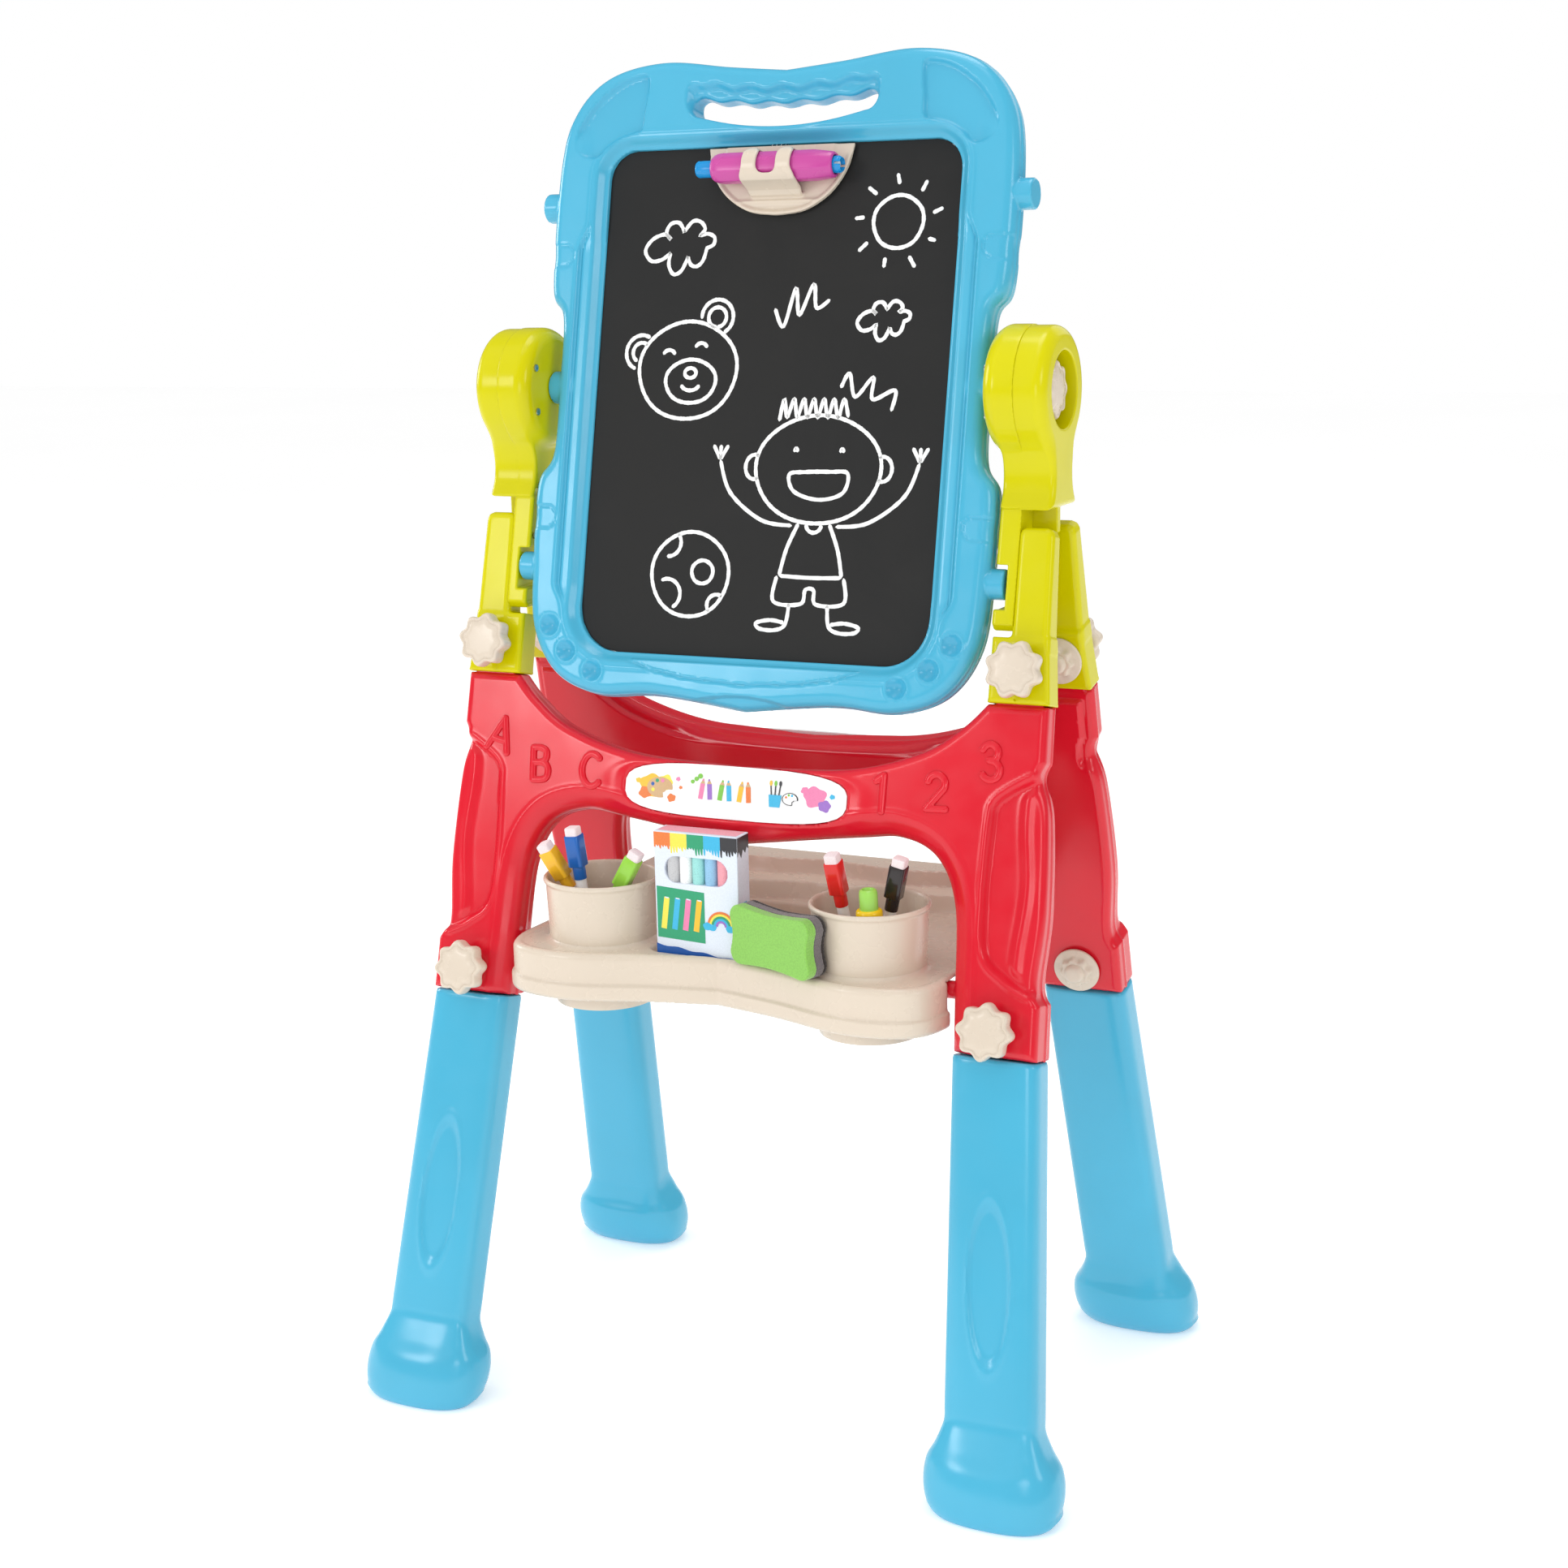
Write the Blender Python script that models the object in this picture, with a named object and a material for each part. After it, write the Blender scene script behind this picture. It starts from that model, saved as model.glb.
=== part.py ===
"""Kids easel: a double-sided board that turns between two hubs on a folding A-frame with a tray.

Run with: blender --background --python part.py

World frame: +Z up, the front of the easel faces -Y, the origin is on the floor in the middle of the
four feet. Lengths are metres. Three local frames carry most of the shape:
  board frame   origin on the board's pivot axis, local Z up the board, the blackboard faces local -Y
  front frame   origin on the front fold axis, local Z up the legs, local +Y into the A-frame
  rear frame    the front frame turned half round about the world Z axis
Shapes on the leg frames are given as (x, depth, along): depth is measured in from the outer face of
the legs and along is measured down the legs from the apex, where the two outer faces nearly meet.
"""

import math

import bmesh
import bpy
from mathutils import Matrix, Vector

# ---- Driving dimensions -------------------------------------------------------------------------

GAP = 0.0003  # clearance between pieces that touch

# A-frame
LEG_TILT = math.radians(13.42)  # lean of each frame from the vertical
APEX_Y = 0.0105  # the outer faces are this far from the middle plane at APEX_Z
APEX_Z = 0.7368
FOLD_ALONG = 0.1405  # fold hinge, down the leg from the apex
FOLD_DEPTH = 0.011  # fold hinge, in from the outer face
FOLD_PIN_RADIUS = 0.0025
FOLD_HOLE_RADIUS = 0.0027

# Board
PIVOT_Z = 0.7527
BOARD_TILT = math.radians(12.7)
BOARD_HALF_THICKNESS = 0.014
PANEL_HALF_WIDTH = 0.140
PANEL_TOP = 0.1741
PANEL_BOTTOM = -0.1958
PANEL_TOP_RADIUS = 0.022
PANEL_BOTTOM_RADIUS = 0.034
PANEL_NEAR = 0.0006  # faces of each panel, out from the board's middle plane
PANEL_FAR = 0.0036
PANEL_LIP = 0.009  # width of the web that both panels rest against
SIDE_PIN_UP = 0.1342  # side pins, from the pivot along the board
SIDE_PIN_RADIUS = 0.0108
SIDE_PIN_END = 0.1926

# Hubs
DRUM_RADIUS = 0.0437
DRUM_INNER_X = 0.1775
STEM_INNER_X = 0.1860
HUB_SPLIT_X = 0.2000
HUB_OUTER_X = 0.2238
RECESS_RADIUS = 0.0265
RECESS_FLOOR_X = 0.2078
CHANNEL_X = 0.1945
CHANNEL_LOW_Z = 0.6060
CHANNEL_HIGH_Z = 0.6360
STEM_BOTTOM_Z = 0.5915
SKIRT_BOTTOM_Z = 0.6730
TONGUE_BOTTOM_Z = 0.6550
STUD_RADIUS = 0.0030
STUD_HOLE_RADIUS = 0.0034

# Leg brackets
BRACKET_TOP = 0.0770  # these five are distances along the leg
BRACKET_SHOULDER = 0.1525
BRACKET_BOTTOM = 0.1980
SOCKET_TOP = 0.1600
TENON_TOP = 0.1615
PLATE_INNER_X = 0.2005
BOX_INNER_X = 0.1870
PLATE_TOP_DEPTH = 0.0160
PLATE_BOTTOM_DEPTH = 0.0212
BOX_DEPTH = 0.0235

# Red frames
FRAME_TOP = BRACKET_BOTTOM + GAP
FRAME_BOTTOM = 0.4405
FRAME_TOP_DEPTH = 0.0245
FRAME_BOTTOM_DEPTH = 0.0350
LABEL_HALF_LENGTH = 0.089
LABEL_HALF_HEIGHT = 0.0195
LABEL_ALONG = 0.2745
LABEL_DEPTH = 0.0025
PEG_RADIUS = 0.0063
PEG_Y = 0.0850
PEG_Z = 0.3453
PEG_INNER_X = 0.1560

# Blue legs
LEG_X = 0.2109  # middle of the leg at the bottom of the red frame
LEG_SPLAY = 0.067  # sideways slope of the leg
LEG_DEPTH = 0.0176  # middle of the leg, in from its outer face
LEG_TENON_TOP = 0.4005
LEG_SOCKET_TOP = 0.3985

# Star knobs and disc nuts
KNOB_RADIUS = 0.0185
KNOB_LOBE = 0.0016
KNOB_LOBES = 8
KNOB_UPPER = (0.2100, 0.1752)  # x and along
KNOB_LOWER = (0.2095, 0.4213)
NUT_RADIUS = 0.0175

# Tray
TRAY_TOP = 0.3550
TRAY_WALL = 0.0030
TRAY_SKIRT = 0.3195
BASIN_FLOOR = 0.3450
STEP_ONE = 0.3680
STEP_TWO = 0.3800
CUP_X = 0.1080
CUP_Y = -0.0800
CUP_RIM_Z = 0.4020
CUP_BASE_Z = 0.3070
CUP_FLOOR_Z = 0.3095
CUP_RIM_RADIUS = 0.0435
CUP_BASE_RADIUS = 0.0375
CUP_WALL = 0.0020

# ---- Colours: (red, green, blue), roughness, metallic --------------------------------------------

LOOKS = {
    "blue": ((0.09, 0.50, 0.76), 0.32, 0.0),
    "red": ((0.76, 0.012, 0.030), 0.28, 0.0),
    "lime": ((0.68, 0.66, 0.010), 0.30, 0.0),
    "cream": ((0.86, 0.79, 0.68), 0.38, 0.0),
    "black_panel": ((0.033, 0.033, 0.035), 0.55, 0.0),
    "white_panel": ((0.88, 0.88, 0.88), 0.15, 0.0),
    "label": ((0.92, 0.92, 0.92), 0.30, 0.0),
    "steel": ((0.62, 0.62, 0.62), 0.25, 1.0),
    "magenta": ((0.58, 0.08, 0.40), 0.30, 0.0),
    "deep_blue": ((0.005, 0.27, 0.62), 0.30, 0.0),
    "carton": ((0.78, 0.83, 0.90), 0.45, 0.0),
    "foam_green": ((0.28, 0.60, 0.12), 0.80, 0.0),
    "felt_black": ((0.020, 0.020, 0.022), 0.95, 0.0),
    "marker_yellow": ((0.90, 0.55, 0.02), 0.25, 0.0),
    "marker_blue": ((0.01, 0.12, 0.45), 0.25, 0.0),
    "marker_green": ((0.30, 0.62, 0.06), 0.25, 0.0),
    "marker_lime": ((0.85, 0.62, 0.01), 0.30, 0.0),
    "marker_red": ((0.70, 0.03, 0.02), 0.25, 0.0),
    "marker_black": ((0.03, 0.02, 0.02), 0.25, 0.0),
}

# ---- Outlines -----------------------------------------------------------------------------------


def curve_through(points, steps):
    """Catmull-Rom curve through open points, ends included, steps spans between neighbours."""
    padded = [points[0], *points, points[-1]]
    curve = []
    for before, start, end, after in zip(padded, padded[1:], padded[2:], padded[3:]):
        for step in range(steps):
            t = step / steps
            weights = (
                -0.5 * t + t**2 - 0.5 * t**3,
                1 - 2.5 * t**2 + 1.5 * t**3,
                0.5 * t + 2 * t**2 - 1.5 * t**3,
                -0.5 * t**2 + 0.5 * t**3,
            )
            near = (before, start, end, after)
            curve.append(tuple(sum(w * p[axis] for w, p in zip(weights, near)) for axis in (0, 1)))
    curve.append(tuple(points[-1]))
    return curve


def mirrored(half):
    """Full outline from its half at x >= 0, which starts and ends on the middle line."""
    return half + [(-x, y) for x, y in reversed(half[1:-1])]


def circle(radius, sides, centre=(0.0, 0.0)):
    angles = [2 * math.pi * i / sides for i in range(sides)]
    return [(centre[0] + radius * math.cos(a), centre[1] + radius * math.sin(a)) for a in angles]


def arc(centre, radius, start, end, steps):
    """Points on an arc, angles in degrees."""
    angles = [math.radians(start + (end - start) * i / steps) for i in range(steps + 1)]
    return [(centre[0] + radius * math.cos(a), centre[1] + radius * math.sin(a)) for a in angles]


def rounded_rectangle(x0, x1, y0, y1, lower_radius, upper_radius, steps=4):
    return (
        arc((x1 - lower_radius, y0 + lower_radius), lower_radius, -90, 0, steps)
        + arc((x1 - upper_radius, y1 - upper_radius), upper_radius, 0, 90, steps)
        + arc((x0 + upper_radius, y1 - upper_radius), upper_radius, 90, 180, steps)
        + arc((x0 + lower_radius, y0 + lower_radius), lower_radius, 180, 270, steps)
    )


def squircle(half_x, half_y, power, sides):
    """Superellipse: power 2 is an ellipse, and a higher power nears a rectangle."""
    points = []
    for i in range(sides):
        angle = 2 * math.pi * (i + 0.5) / sides
        cos, sin = math.cos(angle), math.sin(angle)
        x = half_x * math.copysign(abs(cos) ** (2 / power), cos)
        y = half_y * math.copysign(abs(sin) ** (2 / power), sin)
        points.append((x, y))
    return points


def inset(outline, distance):
    """Outline moved inwards (counter-clockwise outline) along the normals of its corners."""
    moved = []
    for i, (x, y) in enumerate(outline):
        before = Vector(outline[i - 1])
        after = Vector(outline[(i + 1) % len(outline)])
        edge = (after - before).normalized()
        moved.append((x - edge.y * distance, y + edge.x * distance))
    return moved


# ---- Meshes -------------------------------------------------------------------------------------


def loft(loops, ring=False):
    """Closed mesh through loops of equal length: capped at both ends, or joined end to start."""
    bm = bmesh.new()
    rows = [[bm.verts.new(point) for point in loop] for loop in loops]
    pairs = list(zip(rows, rows[1:]))
    if ring:
        pairs.append((rows[-1], rows[0]))
    for lower, upper in pairs:
        for i in range(len(lower)):
            j = (i + 1) % len(lower)
            bm.faces.new((lower[i], lower[j], upper[j], upper[i]))
    if not ring:
        bm.faces.new(rows[0][::-1])
        bm.faces.new(rows[-1])
    bmesh.ops.recalc_face_normals(bm, faces=bm.faces)
    return bm


def turned(profile, sides, ring=False):
    """Solid of revolution about Z through (radius, height) pairs."""
    return loft([[(x, y, z) for x, y in circle(r, sides)] for r, z in profile], ring)


def prism(outline, low, high, place):
    """Extrusion of an outline: place(u, v, w) turns outline and height into a point."""
    return loft([[place(u, v, w) for u, v in outline] for w in (low, high)])


def block(x0, x1, y0, y1, z0, z1):
    outline = [(x0, y0), (x1, y0), (x1, y1), (x0, y1)]
    return prism(outline, z0, z1, lambda u, v, w: (u, v, w))


def place_xyz(u, v, w):
    return (u, v, w)


def place_board(u, v, w):
    """Outline (x, up the board), extruded along the board's thickness."""
    return (u, w, v)


def place_side(u, v, w):
    """Outline (y, z), extruded along X."""
    return (w, u, v)


def leg_point(x, depth, along):
    return (x, depth - FOLD_DEPTH, FOLD_ALONG - along)


def leg_coordinates(y, z):
    """(depth, along) of a world point in the front half of the A-frame."""
    dy, dz = y + APEX_Y, z - APEX_Z
    sin, cos = math.sin(LEG_TILT), math.cos(LEG_TILT)
    return dy * cos - dz * sin, -dy * sin - dz * cos


def fold_axis():
    """World (y, z) of the front fold hinge."""
    sin, cos = math.sin(LEG_TILT), math.cos(LEG_TILT)
    y = -(APEX_Y + FOLD_ALONG * sin) + FOLD_DEPTH * cos
    z = APEX_Z - FOLD_ALONG * cos - FOLD_DEPTH * sin
    return y, z


# ---- Objects ------------------------------------------------------------------------------------


def clear_scene():
    for obj in list(bpy.data.objects):
        bpy.data.objects.remove(obj)


def empty(name, location=(0, 0, 0), rotation=(0, 0, 0), parent=None):
    obj = bpy.data.objects.new(name, None)
    bpy.context.scene.collection.objects.link(obj)
    obj.location = location
    obj.rotation_euler = rotation
    obj.parent = parent
    return obj


def mesh_of(name, bm, smooth_angle=35):
    mesh = bpy.data.meshes.new(name)
    bm.to_mesh(mesh)
    bm.free()
    mesh.shade_smooth()
    mesh.set_sharp_from_angle(angle=math.radians(smooth_angle))
    return mesh


def finish(obj, look):
    colour, roughness, metallic = LOOKS[look]
    material = bpy.data.materials.new(obj.name + "_material")
    material.use_nodes = True
    shader = material.node_tree.nodes["Principled BSDF"]
    shader.inputs["Base Color"].default_value = (*colour, 1.0)
    shader.inputs["Roughness"].default_value = roughness
    shader.inputs["Metallic"].default_value = metallic
    obj.material_slots[0].link = "OBJECT"
    obj.material_slots[0].material = material


def part(name, shape, look, parent=None, location=(0, 0, 0), rotation=(0, 0, 0)):
    """Named piece from a bmesh, or from a mesh that it shares with its copies."""
    mesh = mesh_of(name, shape) if isinstance(shape, bmesh.types.BMesh) else shape
    if not mesh.materials:
        mesh.materials.append(None)
    obj = bpy.data.objects.new(name, mesh)
    bpy.context.scene.collection.objects.link(obj)
    obj.parent = parent
    obj.location = location
    obj.rotation_euler = rotation
    finish(obj, look)
    return obj


def helper(name, shape, parent=None):
    """Cutter or addition for a Boolean: seen as wires, never rendered."""
    obj = bpy.data.objects.new(name, mesh_of(name, shape))
    bpy.context.scene.collection.objects.link(obj)
    obj.parent = parent
    obj.hide_render = True
    obj.display_type = "WIRE"
    return obj


def bevel(obj, width, segments=2, angle=50):
    modifier = obj.modifiers.new("bevel", "BEVEL")
    modifier.width = width
    modifier.segments = segments
    modifier.limit_method = "ANGLE"
    modifier.angle_limit = math.radians(angle)


def boolean(obj, shape, operation="DIFFERENCE"):
    """Cuts a bmesh from the object, or joins it on, in the object's own local frame."""
    name = f"{obj.name}_{operation.lower()}_{len(obj.modifiers)}"
    other = helper(name, shape, obj.parent)
    other.location = obj.location
    other.rotation_euler = obj.rotation_euler
    modifier = obj.modifiers.new(name, "BOOLEAN")
    modifier.operation = operation
    modifier.solver = "EXACT"
    modifier.object = other


def turn_to(bm, axis, location=(0, 0, 0)):
    """Turns a solid made about Z so that its +Z points along axis, then moves it."""
    turn = Vector((0, 0, 1)).rotation_difference(Vector(axis)).to_matrix().to_4x4()
    bm.transform(Matrix.Translation(location) @ turn)
    return bm


def rod(radius, start, end, sides=12):
    """Cylinder between two points."""
    start, end = Vector(start), Vector(end)
    shape = turned([(radius, 0), (radius, (end - start).length)], sides)
    return turn_to(shape, (end - start).normalized(), start)


# ---- Board --------------------------------------------------------------------------------------


def board_outline():
    half = curve_through(
        [
            (0.0, 0.2275),
            (0.045, 0.2318),
            (0.0995, 0.2377),
            (0.145, 0.2280),
            (0.172, 0.2010),
            (0.1815, 0.1600),
            (0.1812, 0.0730),
            (0.1708, 0.0500),
            (0.1700, 0.0000),
            (0.1708, -0.0500),
            (0.1822, -0.0730),
            (0.1822, -0.1300),
            (0.1775, -0.1800),
            (0.1560, -0.2140),
            (0.1190, -0.2282),
            (0.0700, -0.2262),
            (0.0, -0.2335),
        ],
        2,
    )
    return mirrored(half)[::-1]


def panel_outline(gap):
    return rounded_rectangle(
        -PANEL_HALF_WIDTH + gap,
        PANEL_HALF_WIDTH - gap,
        PANEL_BOTTOM + gap,
        PANEL_TOP - gap,
        PANEL_BOTTOM_RADIUS - gap,
        PANEL_TOP_RADIUS - gap,
    )


def handle_slot():
    """Grip hole: a smile-shaped slot with round ends and finger waves along its upper edge."""
    reach = 0.0655

    def lower(x):
        return 0.1857 + 0.0090 * (x / 0.066) ** 2

    def upper(x):
        return 0.2048 + 0.0045 * (x / 0.062) ** 2

    low, high = lower(reach), upper(reach)
    end, middle = (high - low) / 2, (high + low) / 2
    stations = [reach * (1 - i / 10) for i in range(1, 20)]
    waves = [(x, upper(x) - 0.0022 * math.sin(math.pi * i / 4) ** 2) for i, x in enumerate(stations, 1)]
    sag = [(-x, lower(x)) for x in stations[1::2]]
    return arc((reach, middle), end, -90, 90, 6) + waves + arc((-reach, middle), end, 90, 270, 6) + sag


def make_board(board):
    t = BOARD_HALF_THICKNESS
    frame = part("board_frame", prism(board_outline(), -t, t, place_board), "blue", board)
    bevel(frame, 0.0075, 2)
    boolean(frame, prism(handle_slot(), -0.03, 0.03, place_board))
    boolean(frame, prism(panel_outline(PANEL_LIP), -0.03, 0.03, place_board))
    web = PANEL_NEAR - GAP
    boolean(frame, prism(panel_outline(0), -0.03, -web, place_board))
    boolean(frame, prism(panel_outline(0), web, 0.03, place_board))
    for side in (-1, 1):
        boss = rod(0.012, (side * 0.160, 0, 0), (side * (DRUM_INNER_X - GAP), 0, 0), 20)
        boolean(frame, boss, "UNION")
        for up in (-SIDE_PIN_UP, SIDE_PIN_UP):
            pin = rod(SIDE_PIN_RADIUS, (side * 0.170, 0, up), (side * SIDE_PIN_END, 0, up), 16)
            boolean(frame, pin, "UNION")
        lug = block(side * 0.0495 - 0.002, side * 0.0495 + 0.002, -0.0095, -0.0040, 0.1690, 0.1780)
        boolean(frame, lug, "UNION")
        boolean(frame, rod(0.0053, (side * 0.157, 0, 0), (side * 0.20, 0, 0), 16))
    boolean(frame, rod(0.0014, (-0.0485, -0.0068, 0.1713), (0.0485, -0.0068, 0.1713), 12))

    sheets = (("blackboard_panel", "black_panel", -1), ("whiteboard_panel", "white_panel", 1))
    for name, look, facing in sheets:
        sheet = prism(panel_outline(GAP), facing * PANEL_NEAR, facing * PANEL_FAR, place_board)
        part(name, sheet, look, board)

    bore = STUD_HOLE_RADIUS
    insert = turned([(0.005, 0), (0.005, 0.019), (bore, 0.019), (bore, 0)], 16, ring=True)
    mesh = mesh_of("pivot_insert", insert)
    for name, side in (("pivot_insert_left", -1), ("pivot_insert_right", 1)):
        part(name, mesh, "steel", board, (side * 0.1575, 0, 0), (0, side * math.pi / 2, 0))


# ---- Paper clip and chalk holder ----------------------------------------------------------------

CLIP_AXIS = (-0.0068, 0.1713)  # y and up, in the board frame
HOLDER_AXIS = (-0.0192, 0.1545)
HOLDER_RADIUS = 0.0110
FINGER_X = 0.0135


def clip_finger(x, width):
    """Hook that passes below and in front of the chalk holder, in the clip's frame."""
    centre = (HOLDER_AXIS[0] - CLIP_AXIS[0], HOLDER_AXIS[1] - CLIP_AXIS[1])
    outer = arc(centre, HOLDER_RADIUS + 0.0033, 300, 160, 6)
    inner = arc(centre, HOLDER_RADIUS + 0.0008, 160, 300, 6)
    root = [(0.0004, centre[1] - 0.0085), (0.0004, centre[1] - 0.0155)]
    return prism(inner + root + outer, x - width / 2, x + width / 2, place_side)


def make_clip(clip, board):
    half = curve_through(
        [(0.0, -0.0485), (0.022, -0.0455), (0.041, -0.034), (0.053, -0.017), (0.0575, 0.0010)], 3
    )
    outline = half + [(-x, y) for x, y in reversed(half[1:])]
    plate = part("paper_clip", prism(outline, -0.0012, 0.0013, place_board), "cream", clip)
    bevel(plate, 0.0008, 1)
    boolean(plate, block(-0.0090, 0.0090, -0.01, 0.01, -0.0040, 0.0100))
    for side in (-1, 1):
        boolean(plate, rod(0.0025, (side * 0.0095, 0, 0), (side * 0.0465, 0, 0), 12), "UNION")
        boolean(plate, clip_finger(side * FINGER_X, 0.0085), "UNION")
        boolean(plate, block(side * 0.0495 - 0.0025, side * 0.0495 + 0.0025, -0.01, 0.01, -0.0040, 0.01))
    boolean(plate, rod(0.0014, (-0.06, 0, 0), (0.06, 0, 0), 12))

    y, up = CLIP_AXIS
    part("clip_hinge_pin", rod(0.0011, (-0.0482, y, up), (0.0482, y, up), 12), "steel", board)
    make_clip_spring(board)


def make_clip_spring(board):
    """Torsion spring round the hinge pin, between the clip's two hinge barrels."""
    radius, wire, turns, half_length = 0.0024, 0.0004, 4, 0.0070
    y, up = CLIP_AXIS
    per_turn = 8
    points = []
    for i in range(turns * per_turn + 1):
        angle = 2 * math.pi * i / per_turn
        x = -half_length + 2 * half_length * i / (turns * per_turn)
        points.append((x, y - radius * math.cos(angle), up + radius * math.sin(angle)))
    curve = bpy.data.curves.new("clip_spring", "CURVE")
    curve.dimensions = "3D"
    curve.bevel_depth = wire
    curve.bevel_resolution = 0
    curve.use_fill_caps = True
    spline = curve.splines.new("POLY")
    spline.points.add(len(points) - 1)
    for point, place in zip(spline.points, points):
        point.co = (*place, 1.0)
    curve.materials.append(None)
    spring = bpy.data.objects.new("clip_spring", curve)
    bpy.context.scene.collection.objects.link(spring)
    spring.parent = board
    finish(spring, "steel")


def make_chalk_holder(clip):
    """Eight-sided barrel that slides along X through the clip's fingers."""
    place = (0, HOLDER_AXIS[0] - CLIP_AXIS[0], HOLDER_AXIS[1] - CLIP_AXIS[1])
    turn = (0, math.pi / 2, 0)
    r = HOLDER_RADIUS
    bore = 0.0065
    barrel = turned(
        [(0.0090, -0.0465), (r, -0.0420), (r, 0.0330), (0.0090, 0.0490), (bore, 0.0490), (bore, -0.0465)],
        8,
        ring=True,
    )
    part("chalk_holder_barrel", barrel, "magenta", clip, place, turn)
    plunger = turned([(0.0050, -0.0600), (0.0060, -0.0585), (0.0060, -0.0200)], 16)
    part("chalk_holder_plunger", plunger, "deep_blue", clip, place, turn)
    collet = turned(
        [(0.0060, 0.0200), (0.0060, 0.0530), (0.0052, 0.0545), (0.0045, 0.0545), (0.0045, 0.0200)],
        16,
        ring=True,
    )
    part("chalk_holder_collet", collet, "deep_blue", clip, place, turn)


# ---- Hubs ---------------------------------------------------------------------------------------


def outer_face_y(z):
    """How far the A-frame's outer faces are from the middle plane at height z."""
    return APEX_Y + (APEX_Z - z) * math.tan(LEG_TILT)


def hub_half(radius, below):
    """Half outline (y >= 0, height from the pivot): the drum, its neck and its flared skirt."""
    drum = arc((0, 0), radius, 90, -50, 12)
    neck = curve_through([(0.0212, -0.0455), (0.0190, -0.0560), (0.0212, -0.0680), (0.0272, -0.0785)], 3)
    return drum + neck + below


def make_hub(side, name):
    skirt_z = SKIRT_BOTTOM_Z
    stem = [
        (outer_face_y(skirt_z) - 0.0004, skirt_z - PIVOT_Z),
        (outer_face_y(STEM_BOTTOM_Z + 0.005), STEM_BOTTOM_Z + 0.005 - PIVOT_Z),
        (outer_face_y(STEM_BOTTOM_Z) - 0.005, STEM_BOTTOM_Z - PIVOT_Z),
        (0.0, STEM_BOTTOM_Z - PIVOT_Z),
    ]
    flat = [(0.0262, skirt_z - PIVOT_Z), (0.0, skirt_z - PIVOT_Z)]
    place = (0, 0, PIVOT_Z)
    x_split, x_out = side * HUB_SPLIT_X, side * HUB_OUTER_X

    inner_outline = mirrored(hub_half(DRUM_RADIUS - 0.0012, stem))
    inner_shape = prism(inner_outline, side * STEM_INNER_X, x_split, place_side)
    inner = part(f"hub_inner_{name}", inner_shape, "lime", None, place)
    bevel(inner, 0.0015, 1)
    drum = turned(
        [
            (DRUM_RADIUS - 0.0095, DRUM_INNER_X),
            (DRUM_RADIUS - 0.0045, DRUM_INNER_X + 0.0015),
            (DRUM_RADIUS - 0.0012, DRUM_INNER_X + 0.0045),
            (DRUM_RADIUS, DRUM_INNER_X + 0.0095),
            (DRUM_RADIUS, HUB_SPLIT_X),
        ],
        24,
    )
    boolean(inner, turn_to(drum, (side, 0, 0)), "UNION")
    stud = rod(STUD_HOLE_RADIUS, (side * 0.15, 0, 0), (side * 0.25, 0, 0))
    boolean(inner, stud.copy())
    channel = block(
        min(side * 0.15, side * CHANNEL_X),
        max(side * 0.15, side * CHANNEL_X),
        -0.08,
        0.08,
        CHANNEL_LOW_Z - PIVOT_Z,
        CHANNEL_HIGH_Z - PIVOT_Z,
    )
    boolean(inner, channel)
    y, z = fold_axis()
    for facing in (-1, 1):
        hole = rod(
            FOLD_HOLE_RADIUS,
            (side * 0.1885, -facing * y, z - PIVOT_Z),
            (side * 0.21, -facing * y, z - PIVOT_Z),
        )
        boolean(inner, hole)

    outer_outline = mirrored(hub_half(DRUM_RADIUS, flat))
    outer = part(
        f"hub_outer_{name}",
        prism(outer_outline, x_split + side * GAP, x_out, place_side),
        "lime",
        None,
        place,
    )
    bevel(outer, 0.0030, 1, 60)
    low, high = sorted((x_split + side * GAP, x_out - side * 0.004))
    tongue = block(low, high, -0.0035, 0.0035, TONGUE_BOTTOM_Z - PIVOT_Z, skirt_z - PIVOT_Z + 0.01)
    boolean(outer, tongue, "UNION")
    boolean(outer, rod(RECESS_RADIUS, (side * RECESS_FLOOR_X, 0, 0), (side * 0.25, 0, 0), 24))
    boolean(outer, stud)

    for end, facing in (("front", 1), ("rear", -1)):
        pin = rod(
            FOLD_PIN_RADIUS, (side * (0.1885 + GAP), facing * y, z), (side * 0.2245, facing * y, z)
        )
        part(f"hinge_pin_{end}_{name}", pin, "steel")


# ---- Leg brackets -------------------------------------------------------------------------------


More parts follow.
